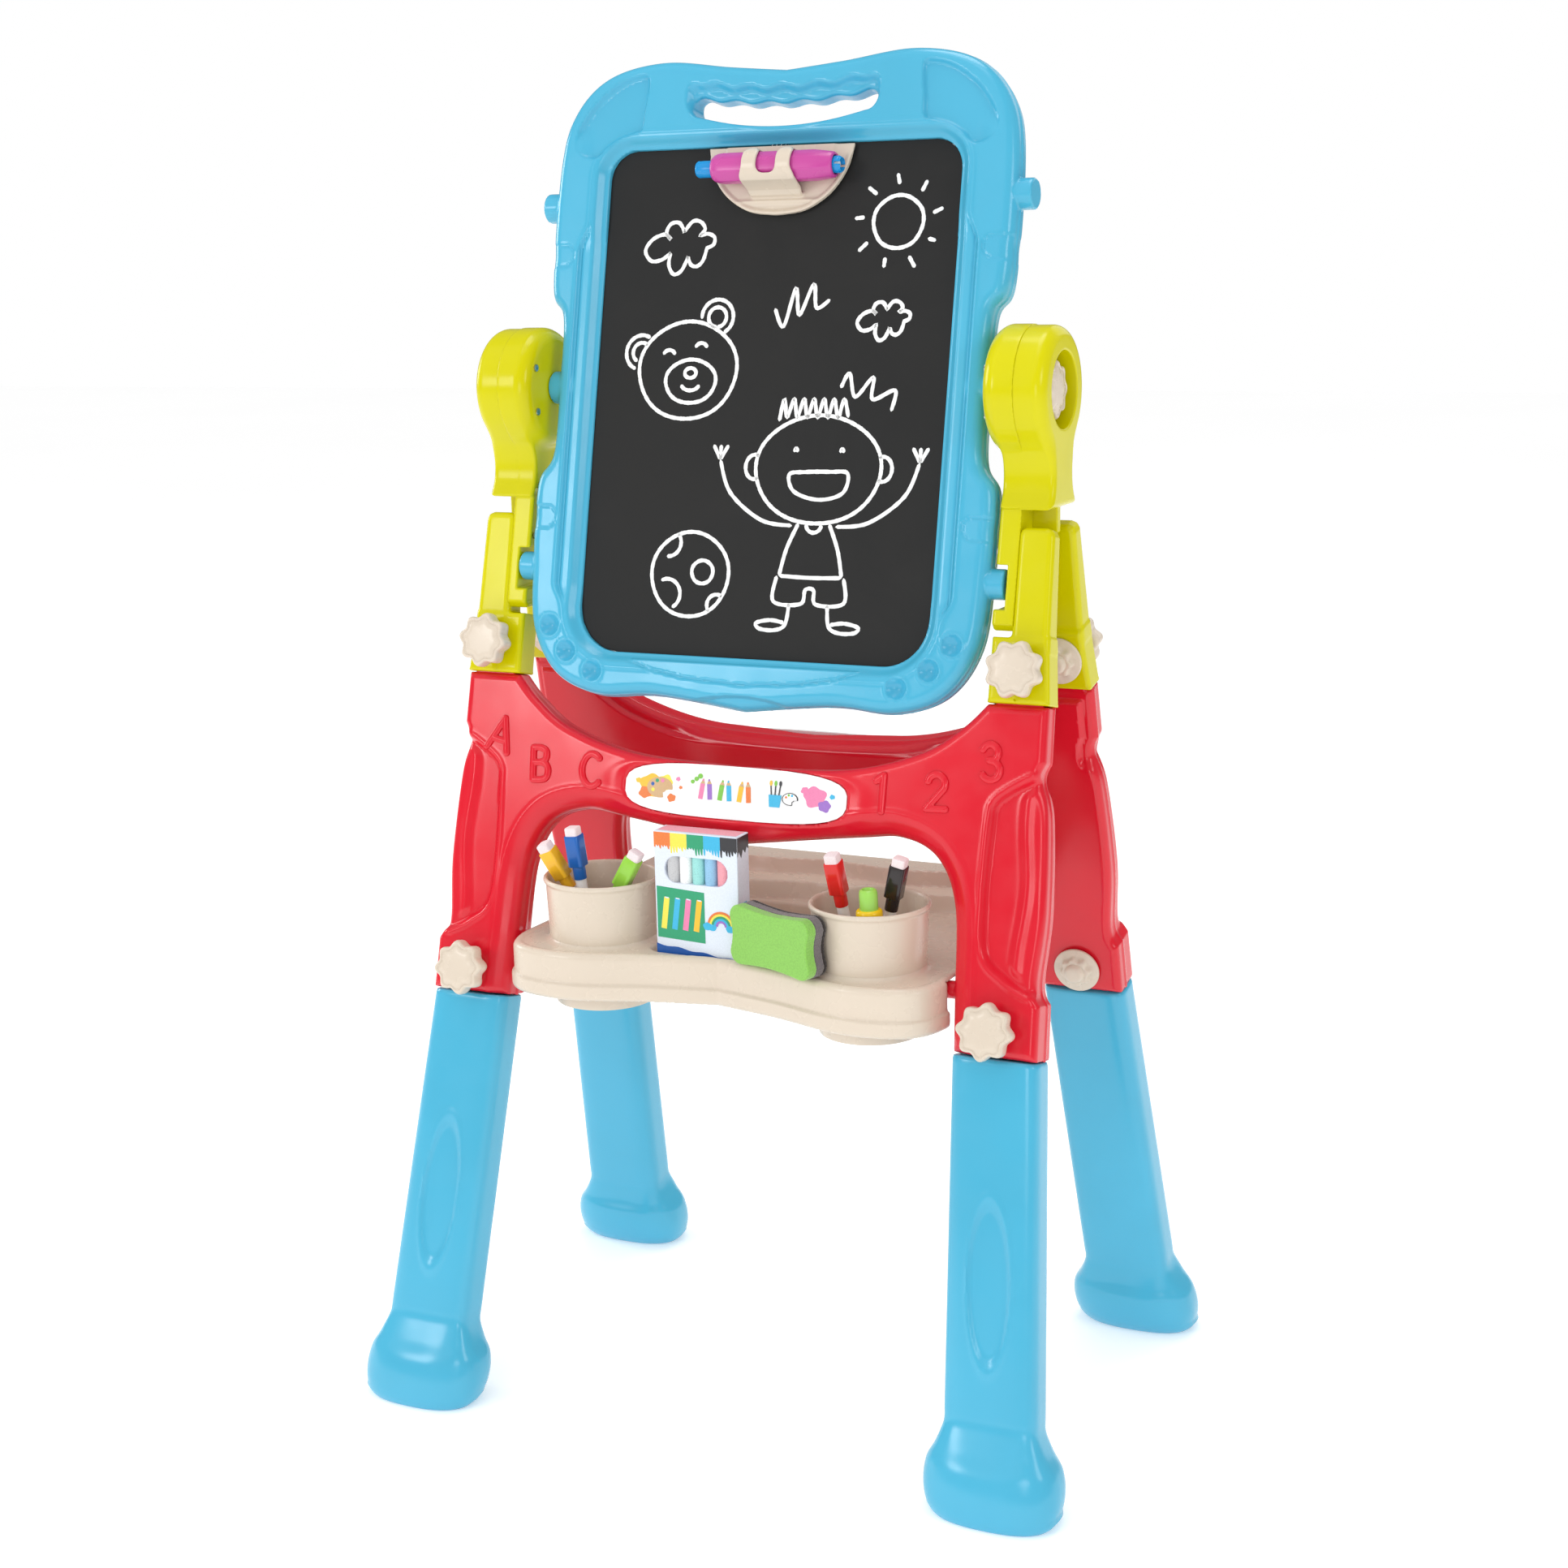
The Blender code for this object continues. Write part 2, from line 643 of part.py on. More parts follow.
def make_bracket(side, name, leg_frame):
    """Plate beside the hub's stem, and below it a box that takes the red frame's tenon."""
    upper = [
        (PLATE_INNER_X, BRACKET_SHOULDER + 0.006),
        (PLATE_INNER_X, BRACKET_TOP + 0.004),
        (PLATE_INNER_X + 0.004, BRACKET_TOP),
        (0.2215, BRACKET_TOP),
        (0.2262, BRACKET_TOP + 0.005),
        (0.2282, BRACKET_SHOULDER + 0.006),
    ]
    lower = [
        (BOX_INNER_X, BRACKET_BOTTOM),
        (BOX_INNER_X, BRACKET_SHOULDER),
        (0.2288, BRACKET_SHOULDER),
        (0.2318, BRACKET_BOTTOM),
    ]
    slant = (PLATE_BOTTOM_DEPTH - PLATE_TOP_DEPTH) / (BRACKET_SHOULDER - BRACKET_TOP)
    plate = [
        [leg_point(side * x, 0.0005, along) for x, along in upper],
        [leg_point(side * x, PLATE_TOP_DEPTH + slant * (along - BRACKET_TOP), along) for x, along in upper],
    ]
    box = [[leg_point(side * x, depth, along) for x, along in lower] for depth in (0, BOX_DEPTH)]
    bracket = part(name, loft(box), "lime", leg_frame)
    bevel(bracket, 0.0020, 1)
    boolean(bracket, loft(plate), "UNION")
    boolean(bracket, leg_box(side, 0.1925, 0.2270, 0.0035, 0.0200, SOCKET_TOP, BRACKET_BOTTOM + 0.01))
    x, along = KNOB_UPPER
    hole_ends = [leg_point(side * x, depth, along) for depth in (-0.01, 0.05)]
    boolean(bracket, rod(STUD_HOLE_RADIUS, *hole_ends))
    hinge = rod(
        FOLD_HOLE_RADIUS,
        leg_point(side * 0.19, FOLD_DEPTH, FOLD_ALONG),
        leg_point(side * 0.2250, FOLD_DEPTH, FOLD_ALONG),
    )
    boolean(bracket, hinge)


def leg_box(side, x0, x1, depth0, depth1, along0, along1):
    low, high = sorted((side * x0, side * x1))
    corners = [(low, along0), (high, along0), (high, along1), (low, along1)]
    return loft([[leg_point(x, depth, along) for x, along in corners] for depth in (depth0, depth1)])


# ---- Red frames ---------------------------------------------------------------------------------


def frame_outline():
    """Arch seen square on, as (x, along): crossbar, two legs and the open arch below it."""
    outside = curve_through(
        [
            (0.2325, 0.2370),
            (0.2290, 0.2490),
            (0.2355, 0.2750),
            (0.2390, 0.3400),
            (0.2362, 0.3880),
            (0.2415, 0.4020),
        ],
        2,
    )
    inside = curve_through(
        [
            (0.1760, 0.3980),
            (0.1715, 0.3400),
            (0.1560, 0.3080),
            (0.1280, 0.2958),
            (0.0950, 0.2982),
            (0.0, 0.3110),
        ],
        3,
    )
    top = curve_through(
        [(0.0, 0.2550), (0.0850, 0.2508), (0.1400, 0.2355), (0.1690, 0.2165), (0.1870, FRAME_TOP)], 2
    )
    half = top + [(0.2318, FRAME_TOP)] + outside + [(0.2425, FRAME_BOTTOM), (0.1788, FRAME_BOTTOM)] + inside
    return mirrored(half)


def frame_depth(along):
    share = (along - FRAME_TOP) / (FRAME_BOTTOM - FRAME_TOP)
    return FRAME_TOP_DEPTH + share * (FRAME_BOTTOM_DEPTH - FRAME_TOP_DEPTH)


def label_outline(gap):
    """Lens with blunt ends, as (x, along)."""
    a, b = LABEL_HALF_LENGTH - gap, LABEL_HALF_HEIGHT - gap
    return [(x, LABEL_ALONG + y) for x, y in squircle(a, b, 3.2, 32)]


def make_frame(end, parent):
    outline = frame_outline()
    front = [leg_point(x, 0, along) for x, along in outline]
    back = [leg_point(x, frame_depth(along), along) for x, along in outline]
    frame = part(f"{end}_frame", loft([front, back]), "red", parent)
    bevel(frame, 0.0050, 1)
    peg_depth, peg_along = leg_coordinates(-PEG_Y, PEG_Z)
    for side in (-1, 1):
        tenon = leg_box(side, 0.1930, 0.2265, 0.0040, 0.0195, TENON_TOP, FRAME_TOP + 0.012)
        boolean(frame, tenon, "UNION")
        peg = rod(
            PEG_RADIUS,
            leg_point(side * PEG_INNER_X, peg_depth, peg_along),
            leg_point(side * 0.185, peg_depth, peg_along),
        )
        boolean(frame, peg, "UNION")
        socket = leg_box(
            side, LEG_X - 0.0262, LEG_X + 0.0262, 0.0065, 0.0290, LEG_SOCKET_TOP, FRAME_BOTTOM + 0.01
        )
        boolean(frame, socket)
        for x, along in (KNOB_UPPER, KNOB_LOWER):
            hole = rod(
                STUD_HOLE_RADIUS, leg_point(side * x, -0.01, along), leg_point(side * x, 0.06, along)
            )
            boolean(frame, hole)
    recess = [[leg_point(x, depth, a) for x, a in label_outline(0)] for depth in (-0.01, LABEL_DEPTH)]
    boolean(frame, loft(recess))
    plate = [[leg_point(x, depth, a) for x, a in label_outline(GAP)] for depth in (0.0004, LABEL_DEPTH - GAP)]
    part(f"label_{end}", loft(plate), "label", parent)


# ---- Blue legs ----------------------------------------------------------------------------------


def make_leg_mesh(side):
    """Rounded bar with a tenon on top and a bulb foot whose sole is level with the floor."""
    sides = 16
    # along, half width, half depth, squareness, share of the lean that the section gives back
    sections = [
        (0.4408, 0.0318, 0.0176, 4.5, 0.0),
        (0.6900, 0.0340, 0.0178, 4.2, 0.0),
        (0.7090, 0.0430, 0.0230, 3.0, 0.5),
        (0.7215, 0.0484, 0.0286, 2.6, 0.8),
        (0.7330, 0.0492, 0.0296, 2.5, 1.0),
        (0.7435, 0.0468, 0.0278, 2.5, 1.0),
    ]
    loops = [
        [leg_point(side * LEG_X + x, LEG_DEPTH + y, along) for x, y in squircle(0.0258, 0.0108, 8, sides)]
        for along in (LEG_TENON_TOP, 0.4408)
    ]
    for along, half_x, half_y, power, level in sections:
        tilt = level * LEG_TILT
        x_mid = side * (LEG_X + LEG_SPLAY * (along - FRAME_BOTTOM))
        loop = []
        for x, y in squircle(half_x, half_y, power, sides):
            loop.append(
                leg_point(x_mid + x, LEG_DEPTH + y * math.cos(tilt), along - y * math.sin(tilt))
            )
        loops.append(loop)
    sole_along = (APEX_Z - LEG_DEPTH * math.sin(LEG_TILT)) / math.cos(LEG_TILT)
    sole_x = side * (LEG_X + LEG_SPLAY * (sole_along - FRAME_BOTTOM))
    sole = []
    for x, y in squircle(0.0400, 0.0225, 2.5, sides):
        depth = LEG_DEPTH + y * math.cos(LEG_TILT)
        sole.append(leg_point(sole_x + x, depth, sole_along - y * math.sin(LEG_TILT)))
    loops.append(sole)
    return loft(loops)


def make_leg(side, name, parent):
    leg = part(name, make_leg_mesh(side), "blue", parent)
    x, along = KNOB_LOWER
    boolean(leg, rod(STUD_HOLE_RADIUS, leg_point(side * x, -0.01, along), leg_point(side * x, 0.06, along)))


# ---- Star knobs and disc nuts -------------------------------------------------------------------


def star(radius, lobe):
    sides = 2 * KNOB_LOBES
    points = []
    for i in range(sides):
        angle = 2 * math.pi * i / sides
        r = radius + lobe * math.cos(KNOB_LOBES * angle)
        points.append((r * math.cos(angle), r * math.sin(angle)))
    return points


def star_knob_mesh(stud_length, neck, height):
    """Knob with its moulded-in stud. Local +Z points out of the face and Z = 0 is its seat."""
    sides = 2 * KNOB_LOBES
    stud = circle(STUD_RADIUS, sides)
    collar = circle(0.0120, sides)
    levels = [(stud, -stud_length), (stud, 0), (collar, 0), (collar, neck)]
    levels += [
        (star(KNOB_RADIUS, KNOB_LOBE), neck),
        (star(KNOB_RADIUS, KNOB_LOBE), height - 0.002),
        (star(KNOB_RADIUS - 0.0020, KNOB_LOBE), height),
    ]
    return loft([[(x, y, z) for x, y in outline] for outline, z in levels])


def disc_nut_mesh():
    """Round nut with a blind hole. Local +Z points away from the leg and Z = 0 is its seat."""
    return turned(
        [
            (STUD_HOLE_RADIUS, 0.0080),
            (STUD_HOLE_RADIUS, 0.0),
            (NUT_RADIUS, 0.0),
            (NUT_RADIUS, 0.0028),
            (0.0105, 0.0032),
            (0.0100, 0.0085),
            (0.0050, 0.0108),
        ],
        12,
    )


def make_fasteners(end, parent, side_names):
    outward = (math.pi / 2, 0, 0)  # local +Z to the leg frame's -Y
    inward = (-math.pi / 2, 0, 0)
    lower_seat = frame_depth(KNOB_LOWER[1] + NUT_RADIUS)
    for level, (x, along), through in (("upper", KNOB_UPPER, BOX_DEPTH), ("lower", KNOB_LOWER, lower_seat)):
        knob = mesh_of(f"knob_{level}", star_knob_mesh(through + 0.0070, 0.0065, 0.0195))
        nut = mesh_of(f"nut_{level}", disc_nut_mesh())
        for side, name in side_names:
            seat = leg_point(side * x, -GAP, along)
            part(f"knob_{level}_{end}_{name}", knob, "cream", parent, seat, outward)
            seat = leg_point(side * x, through + GAP, along)
            part(f"nut_{level}_{end}_{name}", nut, "cream", parent, seat, inward)


def make_hub_knobs():
    knob = mesh_of("hub_knob", star_knob_mesh(RECESS_FLOOR_X - 0.1605, 0.0015, 0.0115))
    for name, side in (("left", -1), ("right", 1)):
        seat = (side * (RECESS_FLOOR_X + GAP), 0, PIVOT_Z)
        part(f"hub_knob_{name}", knob, "cream", None, seat, (0, side * math.pi / 2, 0))


# ---- Tray ---------------------------------------------------------------------------------------


def tray_outline():
    half = curve_through(
        [
            (0.0, -0.1090),
            (0.0500, -0.1200),
            (0.1080, -0.1370),
            (0.1480, -0.1270),
            (0.1690, -0.0960),
            (0.1725, -0.0500),
            (0.1725, 0.0550),
            (0.1690, 0.0950),
            (0.1480, 0.1180),
            (0.1080, 0.1230),
            (0.0, 0.1230),
        ],
        3,
    )
    return mirrored(half)


def slab(outline, low, high):
    return prism(outline, low, high, place_xyz)


def make_tray():
    outline = tray_outline()
    tray = part("tray", slab(outline, TRAY_SKIRT, TRAY_TOP), "cream")
    bevel(tray, 0.0045, 1)
    step_one = rounded_rectangle(-0.1640, 0.1640, 0.0600, 0.1180, 0.010, 0.020)
    step_two = rounded_rectangle(-0.1580, 0.1580, 0.0860, 0.1165, 0.008, 0.018)
    boolean(tray, slab(step_one, TRAY_TOP - 0.006, STEP_ONE), "UNION")
    boolean(tray, slab(step_two, TRAY_TOP - 0.006, STEP_TWO), "UNION")
    basin = rounded_rectangle(-0.0610, 0.0610, -0.1020, 0.0520, 0.014, 0.014)
    boolean(tray, slab(inset(outline, TRAY_WALL), TRAY_SKIRT - 0.01, TRAY_TOP - TRAY_WALL))
    boolean(tray, slab(inset(basin, -0.0025), BASIN_FLOOR - TRAY_WALL, TRAY_TOP - 0.001), "UNION")
    boolean(tray, slab(basin, BASIN_FLOOR, TRAY_TOP + 0.01))
    boolean(tray, slab(inset(step_one, TRAY_WALL), TRAY_TOP - 0.008, STEP_ONE - TRAY_WALL))
    boolean(tray, slab(inset(step_two, TRAY_WALL), TRAY_TOP - 0.008, STEP_TWO - TRAY_WALL))
    for side in (-1, 1):
        place = Matrix.Translation((side * CUP_X, CUP_Y, 0))
        cup = turned(
            [
                (CUP_BASE_RADIUS, CUP_BASE_Z),
                (CUP_RIM_RADIUS - 0.0015, CUP_RIM_Z - 0.004),
                (CUP_RIM_RADIUS, CUP_RIM_Z - 0.004),
                (CUP_RIM_RADIUS, CUP_RIM_Z),
            ],
            28,
        )
        hollow = turned(
            [
                (CUP_BASE_RADIUS - CUP_WALL, CUP_FLOOR_Z),
                (CUP_RIM_RADIUS - 0.0015 - CUP_WALL, CUP_RIM_Z + 0.002),
            ],
            28,
        )
        cup.transform(place)
        hollow.transform(place)
        boolean(tray, cup, "UNION")
        boolean(tray, hollow)
        low, high = sorted((side * 0.1600, side * 0.1900))
        boolean(tray, block(low, high, -0.0935, 0.0935, 0.30, TRAY_TOP - TRAY_WALL + 0.0002))


# ---- What the tray holds ------------------------------------------------------------------------

BOX_WIDTH, BOX_THICKNESS, BOX_HEIGHT = 0.0670, 0.0190, 0.0990
BOX_PLACE = (-0.0185, -0.0915)
ERASER_PLACE = (0.0530, -0.1162)
ERASER_TURN = math.radians(-20)
MARKER_LENGTH = 0.130
STUBBY_LENGTH = 0.1075


def make_chalk_box():
    w, t = BOX_WIDTH / 2, BOX_THICKNESS / 2
    place = (*BOX_PLACE, BASIN_FLOOR + GAP)
    part("chalk_box", block(-w, w, -t, t, 0, BOX_HEIGHT), "carton", None, place)


def eraser_outline():
    """Bone shape: four round corners and gently hollow sides, as (x, z) from its middle."""
    half_w, half_h, hollow, corner = 0.0395, 0.0220, 0.0022, 0.0090
    quarter = arc((half_w - corner, half_h - corner), corner, 0, 90, 4)
    right = [(half_w - hollow, 0.0), *quarter, (0.0, half_h - hollow)]
    upper = right + [(-x, z) for x, z in reversed(right[:-1])]
    return upper + [(x, -z) for x, z in reversed(upper[1:-1])]


def make_eraser():
    place = (*ERASER_PLACE, TRAY_TOP + GAP + 0.0220)
    turn = (0, 0, ERASER_TURN)
    pad = prism(eraser_outline(), -0.0095, 0.0060, place_board)
    part("eraser_pad", pad, "foam_green", None, place, turn)
    felt = prism(eraser_outline(), 0.0060 + GAP, 0.0093, place_board)
    part("eraser_felt", felt, "felt_black", None, place, turn)


def marker_mesh():
    """Slim barrel, neck, square cap and eraser. Local +Z runs from the closed end to the eraser."""
    sides = 12
    neck, cap, eraser = MARKER_LENGTH - 0.0400, MARKER_LENGTH - 0.0300, MARKER_LENGTH - 0.0060
    levels = [
        (circle(0.0042, sides), 0.0),
        (circle(0.0042, sides), neck),
        (circle(0.0048, sides), neck),
        (circle(0.0048, sides), cap),
        (squircle(0.0059, 0.0059, 6, sides), cap),
        (squircle(0.0059, 0.0059, 6, sides), eraser),
        (squircle(0.0050, 0.0050, 6, sides), eraser),
        (squircle(0.0050, 0.0050, 6, sides), MARKER_LENGTH),
    ]
    return loft([[(x, y, z) for x, y in outline] for outline, z in levels])


def stubby_marker_mesh():
    """Thick barrel with a narrower round tip."""
    barrel, tip = 0.0094, 0.0065
    shoulder, top = STUBBY_LENGTH - 0.0145, STUBBY_LENGTH
    profile = [(barrel, 0), (barrel, shoulder), (tip, shoulder), (tip, top - 0.0015), (tip - 0.0015, top)]
    return turned(profile, 16)


def make_markers():
    """Six markers standing in the cups: name, look, cup side, foot and lean as x, y offsets."""
    slim = mesh_of("marker", marker_mesh())
    stubby = mesh_of("stubby_marker", stubby_marker_mesh())
    markers = (
        ("marker_yellow", slim, -1, (0.0107, 0.0180), (-0.0390, -0.0305)),
        ("marker_blue", slim, -1, (-0.0040, -0.0040), (-0.0080, -0.0077)),
        ("marker_green", slim, -1, (-0.0240, -0.0180), (0.0515, 0.0020)),
        ("marker_red", slim, 1, (-0.0102, 0.0120), (-0.0088, -0.0196)),
        ("marker_lime", stubby, 1, (0.0128, -0.0214), (-0.0030, -0.0025)),
        ("marker_black", slim, 1, (-0.0020, 0.0005), (0.0215, -0.0060)),
    )
    for name, mesh, side, foot, lean in markers:
        axis = Vector((lean[0], lean[1], CUP_RIM_Z - CUP_FLOOR_Z)).normalized()
        turn = Vector((0, 0, 1)).rotation_difference(axis).to_euler()
        lift = 0.0042 * math.sqrt(1 - axis.z**2) + GAP
        place = (side * CUP_X + foot[0], CUP_Y + foot[1], CUP_FLOOR_Z + lift)
        part(name, mesh, name, None, place, tuple(turn))


# ---- Assembly -----------------------------------------------------------------------------------


def main():
    clear_scene()
    board = empty("board_pivot_axis", (0, 0, PIVOT_Z), (-BOARD_TILT, 0, 0))
    clip = empty("clip_axis", (0, *CLIP_AXIS), (0, 0, 0), board)
    make_board(board)
    make_clip(clip, board)
    make_chalk_holder(clip)
    for name, side in (("left", -1), ("right", 1)):
        make_hub(side, name)
    make_hub_knobs()

    y, z = fold_axis()
    front = empty("front_fold_axis", (0, y, z), (-LEG_TILT, 0, 0))
    rear = empty("rear_fold_axis", (0, -y, z), (-LEG_TILT, 0, math.pi))
    # Turned half round, the rear frame's local +X is the easel's left.
    for end, parent, sides in (
        ("front", front, ((-1, "left"), (1, "right"))),
        ("rear", rear, ((1, "left"), (-1, "right"))),
    ):
        make_frame(end, parent)
        for side, name in sides:
            make_bracket(side, f"bracket_{end}_{name}", parent)
            make_leg(side, f"leg_{end}_{name}", parent)
        make_fasteners(end, parent, sides)

    make_tray()
    make_chalk_box()
    make_eraser()
    make_markers()


main()
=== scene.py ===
"""Looks of a double-sided kids easel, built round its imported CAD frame.

Everything is in metres. Outlines and profiles are written in millimetres and read by mm().
"""

import math
import random

import bpy
import numpy as np
from mathutils import Matrix, Vector


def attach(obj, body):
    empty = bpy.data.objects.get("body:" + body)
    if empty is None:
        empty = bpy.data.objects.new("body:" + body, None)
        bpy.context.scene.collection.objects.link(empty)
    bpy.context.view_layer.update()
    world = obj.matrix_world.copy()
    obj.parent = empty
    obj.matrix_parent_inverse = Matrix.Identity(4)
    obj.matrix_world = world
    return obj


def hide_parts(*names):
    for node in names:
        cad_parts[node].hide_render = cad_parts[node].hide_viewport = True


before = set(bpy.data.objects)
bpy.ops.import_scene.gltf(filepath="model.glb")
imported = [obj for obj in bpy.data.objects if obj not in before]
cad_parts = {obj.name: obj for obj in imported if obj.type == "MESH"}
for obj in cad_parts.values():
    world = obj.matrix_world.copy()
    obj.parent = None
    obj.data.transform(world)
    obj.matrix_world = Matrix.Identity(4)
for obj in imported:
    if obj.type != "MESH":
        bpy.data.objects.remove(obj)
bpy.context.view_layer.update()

# ---- Places of the moving groups, in metres and radians -------------------------------------------

LEG_TILT = math.radians(13.42)
APEX_Y, APEX_Z = 0.0105, 0.7368
PIVOT_Z = 0.7527
BOARD_TILT = math.radians(12.7)
FRAME_TOP, FRAME_BOTTOM = 0.1983, 0.4405
FRAME_TOP_DEPTH, FRAME_BOTTOM_DEPTH = 0.0245, 0.035
LEG_X, LEG_SPLAY, LEG_DEPTH = 0.2109, 0.067, 0.0176
CUP_X, CUP_Y, CUP_FLOOR = 0.108, -0.08, 0.3095
CLIP_Y, CLIP_UP = -0.0068, 0.1713
HOLDER_Y, HOLDER_UP = -0.0192, 0.1545
LABEL_ALONG = 0.2745
SIDES = ((-1, "left"), (1, "right"))
BOARD = Matrix.Translation((0, 0, PIVOT_Z)) @ Matrix.Rotation(-BOARD_TILT, 4, "X")
HALF_TURN = Matrix.Rotation(math.pi, 4, "Z")
# Local (x, depth in from the outer face, height up the leg from the apex) to the world.
FRONT_LEG = Matrix.Translation((0, -APEX_Y, APEX_Z)) @ Matrix.Rotation(-LEG_TILT, 4, "X")
REAR_LEG = HALF_TURN @ FRONT_LEG
ENDS = (("front", FRONT_LEG, {-1: "left", 1: "right"}), ("rear", REAR_LEG, {-1: "right", 1: "left"}))

# ---- Outlines and distance fields -----------------------------------------------------------------


def mm(text):
    """Rows of millimetres, parted by commas, as an array in metres."""
    return np.array([[float(word + "e-3") for word in row.split()] for row in text.split(",")])


def curve_through(points, steps, closed=False):
    """Catmull-Rom curve through the points."""
    points = np.array(points, float)
    if closed:
        padded = np.vstack([points[-1:], points, points[:2]])
    else:
        padded = np.vstack([points[:1], points, points[-1:]])
    t = (np.arange(steps) / steps)[:, None]
    curve = []
    for p0, p1, p2, p3 in zip(padded, padded[1:], padded[2:], padded[3:]):
        linear, square, cube = p2 - p0, 2 * p0 - 5 * p1 + 4 * p2 - p3, 3 * p1 - p0 - 3 * p2 + p3
        curve.append(p1 + 0.5 * (linear * t + square * t**2 + cube * t**3))
    curve = np.vstack(curve)
    return curve if closed else np.vstack([curve, points[-1:]])


def mirrored(half):
    """Closed outline from its x >= 0 half, which starts and ends on x = 0."""
    half = np.array(half, float)
    return np.vstack([half, (half * (-1, 1))[::-1][1:-1]])


def rounded_box(x, z, x0, x1, z0, z1, radius):
    dx = np.maximum(x0 + radius - x, x - x1 + radius)
    dz = np.maximum(z0 + radius - z, z - z1 + radius)
    outside = np.hypot(np.maximum(dx, 0), np.maximum(dz, 0))
    return outside + np.minimum(np.maximum(dx, dz), 0) - radius


def to_segments(x, z, points, closed):
    """(distance to a chain of segments, whether the point is inside it)."""
    starts = np.array(points, float)
    ends = np.roll(starts, -1, axis=0)
    if not closed:
        starts, ends = starts[:-1], ends[:-1]
    x, z = np.broadcast_arrays(x, z)
    nearest = np.full(x.shape, 1e9)
    odd = np.zeros(x.shape, bool)
    for (ax, az), (bx, bz) in zip(starts, ends):
        dx, dz = bx - ax, bz - az
        px, pz = x - ax, z - az
        t = np.clip((px * dx + pz * dz) / (dx * dx + dz * dz + 1e-18), 0, 1)
        nearest = np.minimum(nearest, (px - t * dx) ** 2 + (pz - t * dz) ** 2)
        if closed and az != bz:
            odd ^= ((az > z) != (bz > z)) & (px < pz * dx / dz)
    return np.sqrt(nearest), odd


def outline_field(points, spacing=0.0008, margin=0.03):
    """Signed distance from a closed outline, negative inside, read from a fine table."""
    points = np.array(points, float)
    low = points.min(0) - margin
    counts = np.ceil((points.max(0) + margin - low) / spacing).astype(int) + 2
    xs, zs = (low[i] + spacing * np.arange(counts[i]) for i in (0, 1))
    distance, inside = to_segments(xs[:, None], zs[None, :], points, True)
    table = np.where(inside, -distance, distance)

    def field(x, z):
        u = np.clip((x - low[0]) / spacing, 0, counts[0] - 1.001)
        v = np.clip((z - low[1]) / spacing, 0, counts[1] - 1.001)
        i, j = u.astype(int), v.astype(int)
        u, v = u - i, v - j
        near = table[i, j] * (1 - u) + table[i + 1, j] * u
        far = table[i, j + 1] * (1 - u) + table[i + 1, j + 1] * u
        return near * (1 - v) + far * v

    return field


def smooth(start, end, value):
    t = np.clip((value - start) / (end - start), 0, 1)
    return t * t * (3 - 2 * t)


def bell(value, width):
    return np.exp(-((value / width) ** 2))


def union(a, b, k):
    """Both solids, with the corner between them filled over k."""
    h = np.clip(0.5 + 0.5 * (b - a) / k, 0, 1)
    return b + (a - b) * h - k * h * (1 - h)


def cut(a, b, k):
    """Solid a without solid b, its new edge rounded over k."""
    return -union(-a, b, k)


def slab(edge, low, high, w, radius):
    """Solid inside a two-dimensional edge, between the heights low and high, with rounded edges."""
    side = edge + radius
    face = np.maximum(low - w, w - high) + radius
    return np.minimum(np.maximum(side, face), 0) + np.hypot(np.maximum(side, 0), np.maximum(face, 0)) - radius


def rod_field(a, b, w, radius, low, high, rounding):
    return slab(np.hypot(a, b) - radius, low, high, w, rounding)


def skin(field, low, high, step):
    """Mesh of the surface where the field is zero: (vertices, quads, normals)."""
    low = np.array(low, float)
    counts = np.ceil((np.array(high) - low) / step).astype(int) + 1
    axes = [low[i] + step * np.arange(counts[i]) for i in range(3)]
    value = np.broadcast_to(field(*np.ix_(*axes)), counts)
    inside = value < 0
    strides = np.array([counts[1] * counts[2], counts[2], 1])
    corners, spots, quads = [], [], []
    for axis in range(3):
        lower = [slice(None)] * 3
        upper = [slice(None)] * 3
        lower[axis], upper[axis] = slice(None, -1), slice(1, None)
        at = np.array(np.nonzero(inside[tuple(lower)] != inside[tuple(upper)])).T
        beyond = at.copy()
        beyond[:, axis] += 1
        v0, v1 = value[tuple(at.T)], value[tuple(beyond.T)]
        point = at.astype(float)
        point[:, axis] += v0 / (v0 - v1)
        u, w = strides[(axis + 1) % 3], strides[(axis + 2) % 3]
        cell = at @ strides
        around = np.stack([cell - u - w, cell - w, cell, cell - u], 1)
        around[v0 >= 0] = around[v0 >= 0][:, ::-1]
        quads.append(around)
        corners.append(around.ravel())
        spots.append(np.repeat(point, 4, axis=0))
    quads, corners, spots = np.vstack(quads), np.concatenate(corners), np.vstack(spots)
    index = np.unique(corners, return_inverse=True)[1]
    total = np.bincount(index)
    mean = np.stack([np.bincount(index, spots[:, i]) for i in range(3)], 1) / total[:, None]
    points = low + step * mean
    faces = index.reshape(-1, 4)

    def slope(p, h):
        d = field(*p.T)
        g = np.stack([field(*(p + h * np.eye(3)[i]).T) - d for i in range(3)], 1) / h
        return d, g

    for _ in range(2):
        d, g = slope(points, step * 0.2)
        move = g * (d / np.maximum((g * g).sum(1), 0.25))[:, None]
        length = np.linalg.norm(move, axis=1, keepdims=True)
        points = points - move * np.minimum(1, 0.6 * step / np.maximum(length, 1e-12))
    _, g = slope(points - step * 0.1, step * 0.2)
    normals = g / np.maximum(np.linalg.norm(g, axis=1, keepdims=True), 1e-9)
    return points, faces, normals


# ---- Materials ------------------------------------------------------------------------------------


def fill_sockets(node, values):
    """Sets sockets by name, where an underscore stands for a space."""
    for name, value in values.items():
        node.inputs[name.replace("_", " ")].default_value = value


